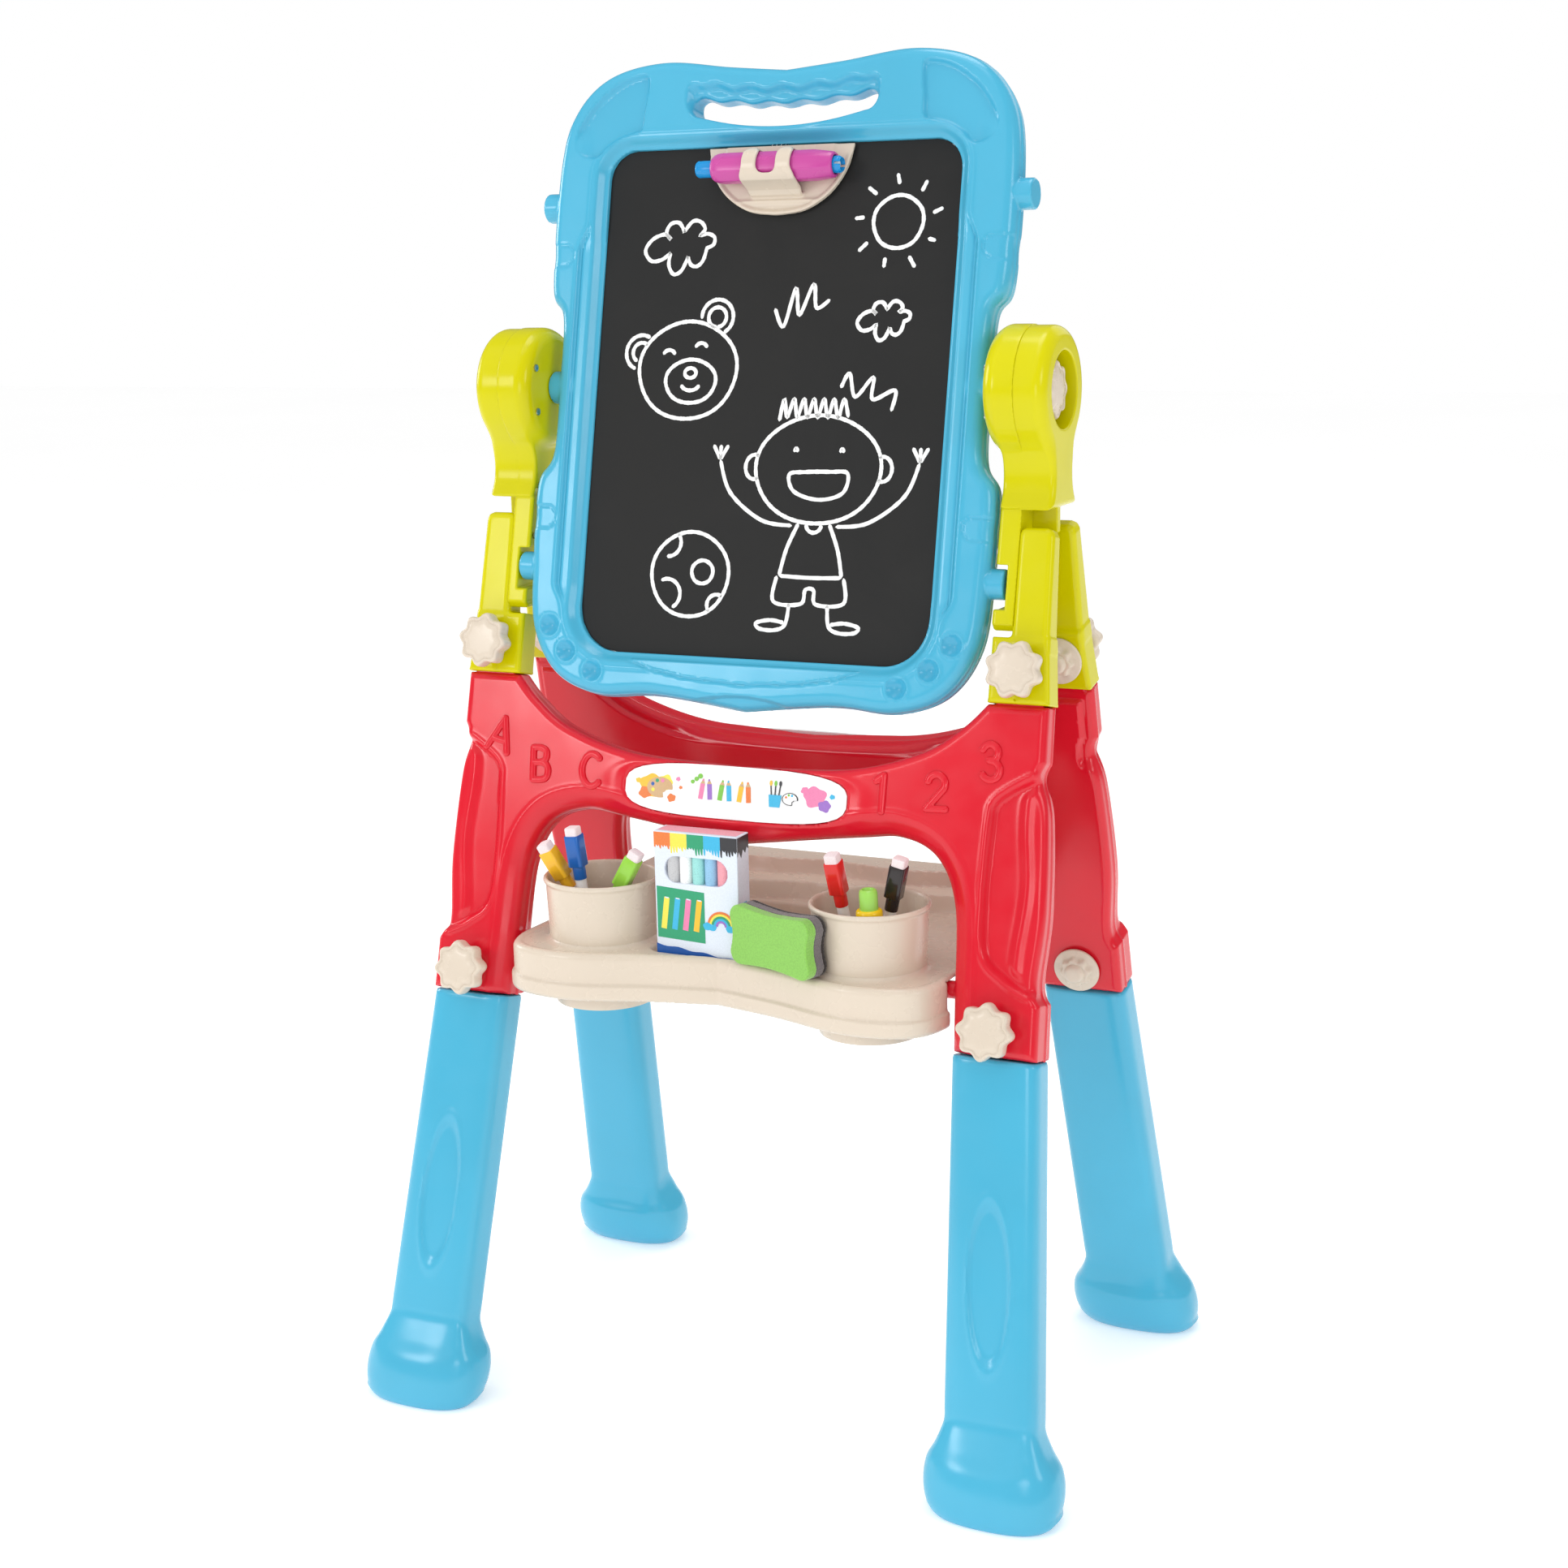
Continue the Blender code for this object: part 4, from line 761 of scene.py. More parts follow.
def hub_outline(radius, below):
    """Field of a drum with a waisted neck under it, closed off by the points below."""
    drum = arc_points(0.0, 0.0, radius, radius, 90, -36, 80)
    neck = curve_through(mm("29.8 -33, 24.3 -40.5, 20.8 -48.5, 19.8 -57.5, 21.6 -68, 27.2 -78.5"), 14)
    return outline_field(mirrored(np.vstack([drum, neck, below])))


def make_hubs():
    stem = [(0.02532, -0.0797), (outer_face(0.5965), -0.1562)]
    stem += [(outer_face(0.5915) - 0.005, -0.1612), (0.0, -0.1612)]
    inner_edge = hub_outline(0.0425, stem)
    outer_edge = hub_outline(0.0437, mm("26.2 -79.7, 0 -79.7"))

    def inner(x, y, z):
        drum = rod_field(y, z, x, 0.0437, 0.1775, 0.212, 0.01)
        web = 0.0022 * smooth(-0.0025, -0.0045, inner_edge(y, z)) * smooth(-0.072, -0.078, z)
        post = slab(inner_edge(y, z), 0.186 + web, 0.204, x, 0.0025)
        tuck = 0.03 * np.clip(x - 0.2008, -0.001, 0.001)
        d = np.maximum(union(drum, post, 0.005) + tuck, x - 0.2018)
        channel = np.maximum(x - 0.1945, np.abs(z + 0.1317) - 0.015)
        return cut(d, channel, 0.0012)

    def outer(x, y, z):
        fillet = 0.0045 + 0.0045 * smooth(-0.05, -0.03, z)
        d = np.maximum(slab(outer_edge(y, z), 0.185, 0.2238, x, fillet), 0.1998 - x)
        d = cut(d, np.maximum(np.hypot(y, z) - 0.0265, 0.2078 - x), 0.0012)
        tongue = slab(rounded_box(y, z, -0.0035, 0.0035, -0.0977, -0.07, 0.001), 0.2003, 0.2198, x, 0.001)
        return union(d, tongue, 0.001)

    place = Matrix.Translation((0, 0, PIVOT_Z))
    shapes = (
        ("hub_inner", inner, (0.1755, -0.048, -0.164), (0.203, 0.048, 0.046)),
        ("hub_outer", outer, (0.198, -0.046, -0.1), (0.226, 0.046, 0.046)),
    )
    for name, field, low, high in shapes:
        mesh = moulded(name, field, low, high, 0.001, "lime")
        piece(f"{name}_shell_right", mesh, "hubs", place, [f"{name}_right"])
        piece(f"{name}_shell_left", flipped(mesh, name), "hubs", place, [f"{name}_left"])


def make_screws():
    """Cross-head self-tapping screws on the inner faces of the hubs."""
    rings = [ring(radius, height, 24) for radius, height in mm("2.6 -1, 2.6 .4, 2.2 1.1, 1.2 1.4")]
    cross = [ring(0.0011, 0.0013, 24, lobe=0.0004, lobes=4), ring(0.0006, 0.0003, 24, lobe=0.0002, lobes=4)]
    head, head_faces = loft([*rings, *cross])
    turn = np.array([(0, 0, 1), (0, 1, 0), (-1, 0, 0)])
    spots = mm(
        "177.5 28 16, 177.5 28 -16, 177.5 -28 16, 177.5 -28 -16, "
        "186 16 -72, 186 -16 -72, 186 26 -108.5, 186 -26 -108.5"
    )
    points, faces = [], []
    for side, _ in SIDES:
        for x, y, z in spots:
            centre = (side * (x - 0.0001), y, PIVOT_Z + z)
            faces += [[len(points) + i for i in face[::side]] for face in head_faces]
            points.extend((head @ turn.T @ np.diag((side, 1, 1)) + centre).tolist())
    piece("hub_screws", sharpen(make_mesh("hub_screws", points, faces, ["steel"])), "hubs")


def make_brackets():
    upper = mm("200.5 162, 200.5 82.5, 201.8 78.6, 205.5 77, 220.5 77, 224.5 78.7, 226.2 82.5, 228.2 162")
    upper = outline_field(upper, 0.0006)
    lower = outline_field(mm("187 198, 187 152.5, 227.85 152.5, 231.8 198"), 0.0006)

    def field(x, depth, up):
        along = -up
        back = 0.016 + (along - 0.077) * 0.0689
        plate = slab(upper(x, along), 0.0, back, depth, 0.0045)
        groove = 0.0009 * bell(x - 0.2075, 0.0013) * smooth(0.155, 0.16, along)
        box = slab(lower(x, along), groove, 0.0235, depth, 0.0036)
        lip = slab(lower(x, along), -0.0002, 0.0237, depth, 0.0025) + 0.0002
        lip = lip + 0.02 * smooth(0.196, 0.192, along)
        return union(union(plate, box, 0.003), lip, 0.0006)

    right = moulded("bracket", field, (0.1845, -0.003, -0.2), (0.2345, 0.026, -0.0745), 0.0013, "lime")
    at_corners("shoulder", right, flipped(right, "bracket_left"), "bracket")


# ---- Legs -----------------------------------------------------------------------------------------


def make_legs():
    """Blow-moulded legs: squarish bar with an oval mark, flaring into a level bulb foot."""
    slim, wide, flank = 0.0339, 0.0494, 0.0176
    fine, sides = 720, 112
    stations = [(0.4409, 0.03, 0.016, 4.5, 0.0), (0.4416, 0.0313, 0.0171, 4.5, 0.0)]
    stations += [(0.444 + 0.0022 * i, 0.0318 + 0.00002 * i, flank, 4.5, 0.0) for i in range(108)]
    foot = mm("683.6 33.9, 693 34.5, 706 40.2, 718 47.5, 732 49.4, 745 47, 752 40.5")
    for s, hx in curve_through(foot, 7):
        hy = flank + (hx - slim) / (wide - slim) * 0.012
        power = 4.5 - 1.9 * smooth(0.69, 0.722, s)
        stations.append((s, hx, hy, power, smooth(0.69, 0.735, s)))
    rings = []
    for s, hx, hy, power, level in stations:
        if s > 0.744:
            continue
        section = even(ring(hx, 0, fine, power, other=hy), sides)
        x = LEG_X + LEG_SPLAY * (s - FRAME_BOTTOM)
        tilt = level * LEG_TILT
        oval = np.hypot(section[:, 0] / 0.015, (s - 0.5935) / 0.055)
        flat = smooth(-0.5, -0.85, section[:, 1] / hy)
        dent = flat * (0.0017 * smooth(1.03, 0.9, oval) - 0.0006 * bell(oval - 1.1, 0.06))
        depth = LEG_DEPTH + section[:, 1] * math.cos(tilt) + dent
        rings.append(np.stack([x + section[:, 0], depth, -s + section[:, 1] * math.sin(tilt)], 1))
    sole = (APEX_Z - LEG_DEPTH * math.sin(LEG_TILT)) / math.cos(LEG_TILT)
    x = LEG_X + LEG_SPLAY * (sole - FRAME_BOTTOM)
    for hx, hy, lift in mm("47.8 27.5 7, 45 25.5 3, 42.5 23.8 .8, 40 22.5 0, 36 19 0, 34 17 1.6"):
        section = even(ring(hx, 0, fine, 2.5, other=hy), sides)
        depth = LEG_DEPTH + section[:, 1] * math.cos(LEG_TILT)
        height = -sole + lift + section[:, 1] * math.sin(LEG_TILT)
        rings.append(np.stack([x + section[:, 0], depth, height], 1))
    points, faces = loft(rings)
    right = make_mesh("leg_bar", points, [face[::-1] for face in faces], ["blue"])
    left = flipped(right, "leg_bar_left")
    at_corners("bar", sharpen(right, 50), sharpen(left, 50), "leg")


# ---- Knobs and nuts -------------------------------------------------------------------------------


def knob_mesh(name, neck, height):
    """Eight-lobed star knob; its face has a step that follows the lobes."""
    rise = mm("15 0 1, 17.2 .4 1.4, 18.4 1.6 1.6, 18.7 4 1.7")
    crown = mm(
        "18.7 3.4 1.7, 18.3 1.6 1.6, 17.4 .6 1.5, 16.4 .4 1.4, 15.7 1.1 1.3, 15 1.1 1.2, 14.3 .4 1.1, "
        "10 .1 .5, 4 0 0"
    )
    profile = [(0.0105, 0.0), (0.012, 0.0004), (0.012, neck)]
    profile += [(radius, neck + z, lobe) for radius, z, lobe in rise]
    profile += [(radius, neck + (height - neck - drop), lobe) for radius, drop, lobe in crown]
    return turned(name, profile, 128, "cream")


def nut_mesh():
    """Round washer face with a scalloped boss and a small dome."""
    profile = mm(
        "16.8 0 0, 17.5 .6 0, 17.5 2 0, 16.8 2.7 0, 12.2 2.5 .9, 11.2 3.4 1, 10.6 6.2 .9, 9.8 7 .7, "
        "7.8 7 0, 7.4 8 0, 6.8 9.7 0, 5 10.6 0, 1.8 10.8 0"
    )
    return turned("disc_nut", profile, 96, "cream")


def make_fasteners():
    knob, nut = knob_mesh("star_knob", 0.0065, 0.0195), nut_mesh()
    outward, inward = (Matrix.Rotation(turn, 4, "X") for turn in (math.pi / 2, -math.pi / 2))
    slope = (FRAME_BOTTOM_DEPTH - FRAME_TOP_DEPTH) / (FRAME_BOTTOM - FRAME_TOP)
    lower_seat = FRAME_TOP_DEPTH + slope * (0.4213 + 0.0175 - FRAME_TOP)
    levels = (("upper", 0.21, 0.1752, 0.0235), ("lower", 0.2095, 0.4213, lower_seat))
    for end, place, names in ENDS:
        for level, x, along, seat in levels:
            for side, _ in SIDES:
                tail = f"{level}_{end}_{names[side]}"
                spin = Matrix.Rotation(0.3 * side + along, 4, "Z")
                at = place @ Matrix.Translation((side * x, -0.0003, -along)) @ outward @ spin
                piece(f"star_{tail}", knob, f"knob_{tail}", at, [f"knob_{tail}"])
                at = place @ Matrix.Translation((side * x, seat + 0.0003, -along)) @ inward @ spin
                piece(f"washer_{tail}", nut, f"{end}_frame", at, [f"nut_{tail}"])
    small = knob_mesh("hub_star", 0.0015, 0.0115)
    for side, name in SIDES:
        turn = Matrix.Rotation(side * math.pi / 2, 4, "Y")
        at = Matrix.Translation((side * 0.2081, 0, PIVOT_Z)) @ turn
        piece(f"hub_star_{name}", small, f"hub_knob_{name}", at, [f"hub_knob_{name}"])


# ---- Tray -----------------------------------------------------------------------------------------


def make_tray():
    half = mm(
        "0 -109, 50 -120, 108 -137, 154 -130, 172.5 -102, 173 -50, 172.5 55, 169 95, 148 118, 108 123, 0 123"
    )
    edge = outline_field(mirrored(curve_through(half, 14)))

    def cup_distance(x, y, radius):
        return np.hypot(np.abs(x) - CUP_X, y - CUP_Y) - radius

    def top(x, y, shift=0.0):
        height = 0.355
        for start, reach, back, rise in mm("60 164 118 13, 86 158 116.5 12"):
            step = rounded_box(x, y, -reach, reach, start + 0.004 * np.cos(x * 55), back, 0.014) + shift
            height = height + rise * smooth(0.0006, -0.0034, step)
        height = height + 0.0035 * np.exp(-np.maximum(cup_distance(x, y, 0.04), 0) / 0.0022)
        lip = edge(x, y) + 0.0085
        return height - 0.0008 * smooth(0.001, -0.001, lip) * smooth(0.064, 0.056, y)

    def field(x, y, z):
        rim = edge(x, y) + 0.002 * smooth(0.331, 0.333, z)
        d = slab(rim, 0.3195, top(x, y), z, 0.0046)
        basin = rounded_box(x, y, -0.061, 0.061, -0.102, 0.052, 0.014)
        ceiling = np.minimum(top(x, y, 0.0034) - 0.0034, 0.3516 + 0.04 * smooth(0.058, 0.062, y))
        ceiling = ceiling - 0.0098 * smooth(0.004, 0.001, basin)
        d = cut(d, np.maximum(edge(x, y) + 0.0045, z - ceiling), 0.001)
        d = cut(d, np.maximum(basin, 0.345 - z), 0.003)
        d = cut(d, cup_distance(x, y, 0.0378), 0.0006)
        notch = np.maximum(np.maximum(0.16 - np.abs(x), np.abs(y) - 0.0935), z - 0.3522)
        return cut(d, notch, 0.0012)

    mesh = moulded("tray_deck", field, (-0.176, -0.1405, 0.316), (0.176, 0.1265, 0.384), 0.0017, "cream")
    cup = mm(
        "35 307, 37.2 307.4, 37.7 309, 40.2 356, 41.8 396, 42.1 397.8, 43.1 398.4, 43.6 399.6, 43.4 401, "
        "42.6 401.9, 41.4 401.8, 40.6 400.8, 40.2 399, 38 350, 35.7 313, 34.5 310, 31 309.5, 10 309.5"
    )
    cup_mesh = turned("cup", cup, 120, "cream")
    piece("tray_deck", mesh, "tray", None, ["tray"])
    for side, name in SIDES:
        piece(f"cup_{name}", cup_mesh, "tray", Matrix.Translation((side * CUP_X, CUP_Y, 0)))


# ---- Clip and chalk holder ------------------------------------------------------------------------


def make_clip():
    half = curve_through(mm("0 -48.5, 22 -45.5, 41 -34, 53 -17, 57.5 1"), 8)
    plate = outline_field(np.vstack([half, (half * (-1, 1))[::-1][:-1]]), 0.0005)
    hy, hz, bend = HOLDER_Y - CLIP_Y, HOLDER_UP - CLIP_UP, 0.0127
    angle = np.radians(np.linspace(104, -52, 30))
    chain = np.stack([hy - bend * np.cos(angle), hz + bend * np.sin(angle)], 1)
    chain = np.vstack([chain, mm("-8.5 -31, -4.8 -34, 0 -35.2")])

    def field(x, y, z):
        side_x = np.abs(x)
        border = plate(x, z)
        front = 0.0013 + 0.0016 * smooth(-0.0045, -0.0015, border) * smooth(-0.004, -0.01, z)
        bridge = rounded_box(x, z, -0.043, 0.043, -0.011, 0.01, 0.003)
        front = front + 0.0014 * smooth(0.0016, -0.0016, bridge)
        front = front + 0.0012 * bell(z + 0.0385, 0.0014) * smooth(0.036, 0.028, side_x)
        d = slab(border, -front, 0.0013, y, 0.001)
        mask = rounded_box(x, z, -0.0205, 0.0205, -0.037, -0.0235, 0.0035)
        finger = rounded_box(side_x, z, 0.0078, 0.019, -0.032, -0.0036, 0.0055)
        mask = union(mask, finger, 0.0065)
        band = to_segments(y, z, chain, False)[0] - 0.0013
        return union(d, cut(band, -mask, 0.0012), 0.0018)

    mesh = moulded("clip", field, (-0.059, -0.0285, -0.0505), (0.059, 0.003, 0.003), 0.00085, "cream")
    place = BOARD @ Matrix.Translation((0, CLIP_Y, CLIP_UP))
    piece("clip_plate", mesh, "paper_clip", place, ["paper_clip"])


def octagon(radius, height, round_off, sides=96):
    """Ring between an octagon and a circle."""
    angle = 2 * np.pi * np.arange(sides) / sides
    flat = np.cos(np.pi / 8) / np.cos((angle + np.pi / 8) % (np.pi / 4) - np.pi / 8)
    r = radius * (flat * (1 - round_off) + round_off)
    return np.stack([r * np.cos(angle), r * np.sin(angle), np.full(sides, height)], 1)


def make_holder():
    turn = Matrix.Rotation(math.pi / 2, 4, "Y")
    place = BOARD @ Matrix.Translation((0, HOLDER_Y, HOLDER_UP)) @ turn
    profile = mm(
        "6.8 -46.5, 8.4 -46.2, 9.6 -44.8, 10.6 -42, 11 -38, 11 33, 10.5 38, 9.6 45, 9 48, 8.4 48.9, 7 49, "
        "6.6 48.2, 6.6 38"
    )
    shares = (1.0, 0.9, 0.7, 0.45, 0.25, 0.25, 0.4, 0.7, 0.95, 1.0, 1.0, 1.0, 1.0)
    rings = [octagon(r, z, share) for (r, z), share in zip(profile, shares)]
    barrel = sharpen(make_mesh("holder_barrel", *loft(rings), ["magenta"]), 60)
    piece("holder_barrel", barrel, "chalk_holder", place, ["chalk_holder_barrel"])
    plunger = mm("4.4 -60, 5.3 -59.7, 6 -58.5, 6 -50, 5.8 -44, 5.8 -20")
    plunger = turned("holder_button", plunger, 64, "deep_blue")
    piece("holder_button", plunger, "holder_plunger", place, ["chalk_holder_plunger"])

    def collet(a, b, w):
        tube = slab(np.hypot(a, b) - 0.006 + 0.001 * smooth(0.052, 0.0545, w), 0.036, 0.0545, w, 0.0006)
        tube = cut(tube, np.hypot(a, b) - 0.0042, 0.0005)
        split = np.minimum(np.abs(a), np.abs(b)) - 0.0008
        return cut(tube, np.maximum(split, 0.05 - w), 0.0005)

    low, high = (-0.007, -0.007, 0.0345), (0.007, 0.007, 0.056)
    mesh = moulded("holder_jaws", collet, low, high, 0.0005, "deep_blue")
    piece("holder_jaws", mesh, "chalk_holder", place, ["chalk_holder_collet"])
    stick = [ring(r, z, 48) for r, z in mm("3.6 30, 4 30.5, 4 50, 3.4 51.5")]
    piece("holder_chalk", make_mesh("holder_chalk", *loft(stick), ["chalk_white"]), "chalk_holder", place)


# ---- Supplies -------------------------------------------------------------------------------------


def pen_mesh(name, *bands):
    """Pen built of rings; each band is (look, rows of radius and height, squircle power of each row)."""
    sides, rings, tones = 64, [], []
    for look, rows, powers in bands:
        rings += [ring(radius, height, sides, power) for (radius, height), power in zip(rows, powers)]
        tones += [look] * len(rows)
    looks = list(dict.fromkeys(tones))
    marks = [looks.index(look) for look in (*tones[1:], tones[0], tones[-1]) for _ in range(sides)]
    return sharpen(make_mesh(name, *loft(rings), looks, face_looks=marks), 40)


def marker_mesh(colour):
    return pen_mesh(
        colour + "_pen",
        ("white_barrel", mm("3.2 0, 4 .4, 4.2 1.2, 4.2 89.5, 4.1 90"), (2,) * 5),
        (colour, mm("4.7 90.1, 4.8 90.5, 4.8 99.5, 4.7 100"), (2,) * 4),
        (colour, mm("5.6 100, 5.9 100.4, 5.9 123.3, 5.7 123.9, 5.1 124"), (5, 6, 6, 5.5, 5)),
        ("cap_felt", mm("5 124.1, 5 129, 4.6 129.8, 3 130"), (5,) * 4),
    )


def stubby_mesh():
    return pen_mesh(
        "stubby_pen",
        ("marker_lime", mm("8 0, 9.2 .6, 9.4 1.6, 9.4 90.5, 9 92.2, 8 93, 6.6 93"), (2,) * 7),
        ("tip_green", mm("6.5 93.1, 6.5 104.5, 6 106.6, 4.7 107.4, 4 107.2, 3.6 106.2"), (2,) * 6),
    )


def make_markers():
    table = (
        ("yellow", -1, (0.0107, 0.018), (-0.039, -0.0305)),
        ("blue", -1, (-0.004, -0.004), (-0.008, -0.0077)),
        ("green", -1, (-0.024, -0.018), (0.0515, 0.002)),
        ("red", 1, (-0.0102, 0.012), (-0.0088, -0.0196)),
        ("lime", 1, (0.0128, -0.0214), (-0.003, -0.0025)),
        ("black", 1, (-0.002, 0.0005), (0.0215, -0.006)),
    )
    for name, side, foot, lean in table:
        axis = Vector((*lean, 0.0925)).normalized()
        lift = 0.0042 * math.sqrt(1 - axis.z**2) + 0.0003
        turn = Vector((0, 0, 1)).rotation_difference(axis).to_matrix().to_4x4()
        at = Matrix.Translation((side * CUP_X + foot[0], CUP_Y + foot[1], CUP_FLOOR + lift)) @ turn
        mesh = stubby_mesh() if name == "lime" else marker_mesh(f"marker_{name}")
        piece(f"pen_{name}", mesh, f"marker_{name}", at, [f"marker_{name}"])


def make_eraser():
    quarter = arc_points(0.0305, 0.013, 0.009, 0.009, -8, 98, 10)
    right = np.vstack([mm("37.1 0, 37.8 6"), quarter, mm("17 20.6, 0 19.7")])
    upper = np.vstack([right, (right * (-1, 1))[::-1][1:]])
    outline = np.vstack([upper, (upper * (1, -1))[::-1][1:-1]])
    edge = outline_field(curve_through(outline, 4, True), 0.0004)
    place = Matrix.Translation((0.053, -0.1162, 0.3773)) @ Matrix.Rotation(math.radians(-20), 4, "Z")
    layers = (
        ("eraser_foam", -0.0095, -0.001, 0.001, "foam_green", ["eraser_pad"], "foam_green"),
        ("eraser_core", -0.0012, 0.0062, 0.0004, "foam_grey", [], "foam_green"),
        ("eraser_nap", 0.0061, 0.0093, 0.0012, "felt_black", ["eraser_felt"], "felt_black"),
    )
    for name, low, high, rounding, look, nodes, slot in layers:

        def field(x, y, z, low=low, high=high, rounding=rounding):
            ragged = 0.00018 * np.sin(x * 2900 + y * 1700) * np.sin(z * 2500 - y * 2100)
            return slab(edge(x, z) + ragged + 0.0003, low, high, y, rounding)

        start, stop = (-0.0415, low - 0.0022, -0.0245), (0.0415, high + 0.0022, 0.0245)
        mesh = moulded(name, field, start, stop, 0.0009, look)
        obj = piece(name, mesh, "eraser", place, nodes)


def decals(name, shapes, place, body, thickness=0.00012):
    """Thin printed shapes: (outline in the place's X and Z, look), standing out towards its -Y."""
    points, faces, marks, looks = [], [], [], []
    for layer, (outline, look) in enumerate(shapes):
        outline = np.array(outline, float)
        turn = np.roll(outline, -1, axis=0)
        if (outline[:, 0] * turn[:, 1] - turn[:, 0] * outline[:, 1]).sum() < 0:
            outline = outline[::-1]
        if look not in looks:
            looks.append(look)
        start, count = len(points), len(outline)
        out = -thickness * (1 + 0.35 * layer)
        points += [(x, 0.0001, z) for x, z in outline] + [(x, out, z) for x, z in outline]
        faces.append([start + count + i for i in range(count)])
        faces.append([start + i for i in range(count)][::-1])
        for i in range(count):
            j = (i + 1) % count
            faces.append([start + i, start + j, start + count + j, start + count + i])
        marks += [looks.index(look)] * (count + 2)
    mesh = make_mesh(name, points, faces, looks, face_looks=marks)
    mesh.polygons.foreach_set("use_smooth", [False] * len(mesh.polygons))
    piece(name, mesh, body, place)


def disc(cx, cz, rx, rz=None, count=28, wobble=0.0, phase=0.0):
    angle = 2 * np.pi * np.arange(count) / count
    grow = 1 + wobble * np.sin(5 * angle + phase) + wobble * 0.6 * np.sin(3 * angle - phase)
    return np.stack([cx + rx * grow * np.cos(angle), cz + (rz or rx) * grow * np.sin(angle)], 1)


def bar(x0, z0, x1, z1, width):
    """Straight bar between two points."""
    along = np.array([x1 - x0, z1 - z0])
    across = np.array([-along[1], along[0]]) / np.linalg.norm(along) * width / 2
    a, b = np.array([x0, z0]), np.array([x1, z1])
    return [a - across, b - across, b + across, a + across]


def prints(names):
    return [f"print_{name}" for name in names.split()]


def carton_front(w, tall):
    """Printed shapes of the front: dripping bands, window with bars, rainbow over clouds, ground wave."""
    rng, bands = random.Random(4), []
    tones = prints("orange yellow green sky ink")
    span = 2 * w / len(tones)
    for i, tone in enumerate(tones):
        x0, x1 = -w + i * span, -w + (i + 1) * span
        drip = [(x0 + 0.0001, tall - 0.0008), (x0 + 0.0001, tall - 0.0125)]
        for k in range(6):
            a = x0 + (x1 - x0) * k / 6
            low = tall - 0.0105 - 0.0055 * rng.random()
            drip += [(a + 0.0004, low), (a + 0.0014, low - 0.0006), (a + 0.0018, tall - 0.0102)]
        drip += [(x1, tall - 0.011), (x1, tall - 0.0008)]
        bands.append((drip, tone))
    bands.append((mm("-32.2 19.8, 6.3 18.2, 6.3 56, -32.2 58"), "print_green"))
    wave = [(x, 0.0112 - 0.0035 * x / w + 0.0006 * math.sin(300 * x)) for x in np.linspace(w, -w, 24)]
    bands.append(([(-w + 0.0001, 0.0008), (w - 0.0001, 0.0008), *wave], "print_navy"))
    for i, tone in enumerate(prints("yellow sky pink amber")):
        x = -0.0272 + 0.0088 * i
        bands.append((bar(x, 0.0265, x + 0.0032, 0.05, 0.0044), tone))
        bands.append((bar(x + 0.0031, 0.0494, x + 0.0032, 0.0503, 0.003), "carton"))
    for i, tone in enumerate(prints("orange yellow green sky violet")):
        r = 0.0112 - 0.0017 * i
        bow = [arc_points(0.0195, 0.032, r, r, 0, 180, 20)]
        bow.append(arc_points(0.0195, 0.032, r - 0.0016, r - 0.0016, 180, 0, 20))
        bands.append((np.vstack(bow), tone))
    for cx, cz, rx in mm("8.5 31.5 3.6, 12.5 30.8 3, 26.5 30.8 3.2, 30 31.8 2.6"):
        bands.append((disc(cx, cz, rx, rx * 0.8, wobble=0.05), "print_sky"))
    return bands


def carton_side(t, tall):
    """Printed shapes of the carton's side: drips, a ground band and a ladder of bars."""
    edge = t - 0.0006
    drip = [(-t + 0.0006, tall - 0.0008), (-t + 0.0006, tall - 0.015), (-t + 0.003, tall - 0.011)]
    drip += [(-0.003, tall - 0.0165), (0.0, tall - 0.0105), (0.0035, tall - 0.014)]
    drip += [(0.006, tall - 0.01)]
    drip += [(edge, tall - 0.012), (edge, tall - 0.0008)]
    ground = [(-edge, 0.0008), (edge, 0.0008), (edge, 0.008), (-edge, 0.0082)]
    ladder = []
    for i, tone in enumerate(prints("orange yellow green sky")):
        height = 0.03 + 0.006 * i
        ladder.append((bar(-0.004, height, 0.004, height, 0.003), tone))
    return [(drip, "print_ink"), (ground, "print_navy"), *ladder]


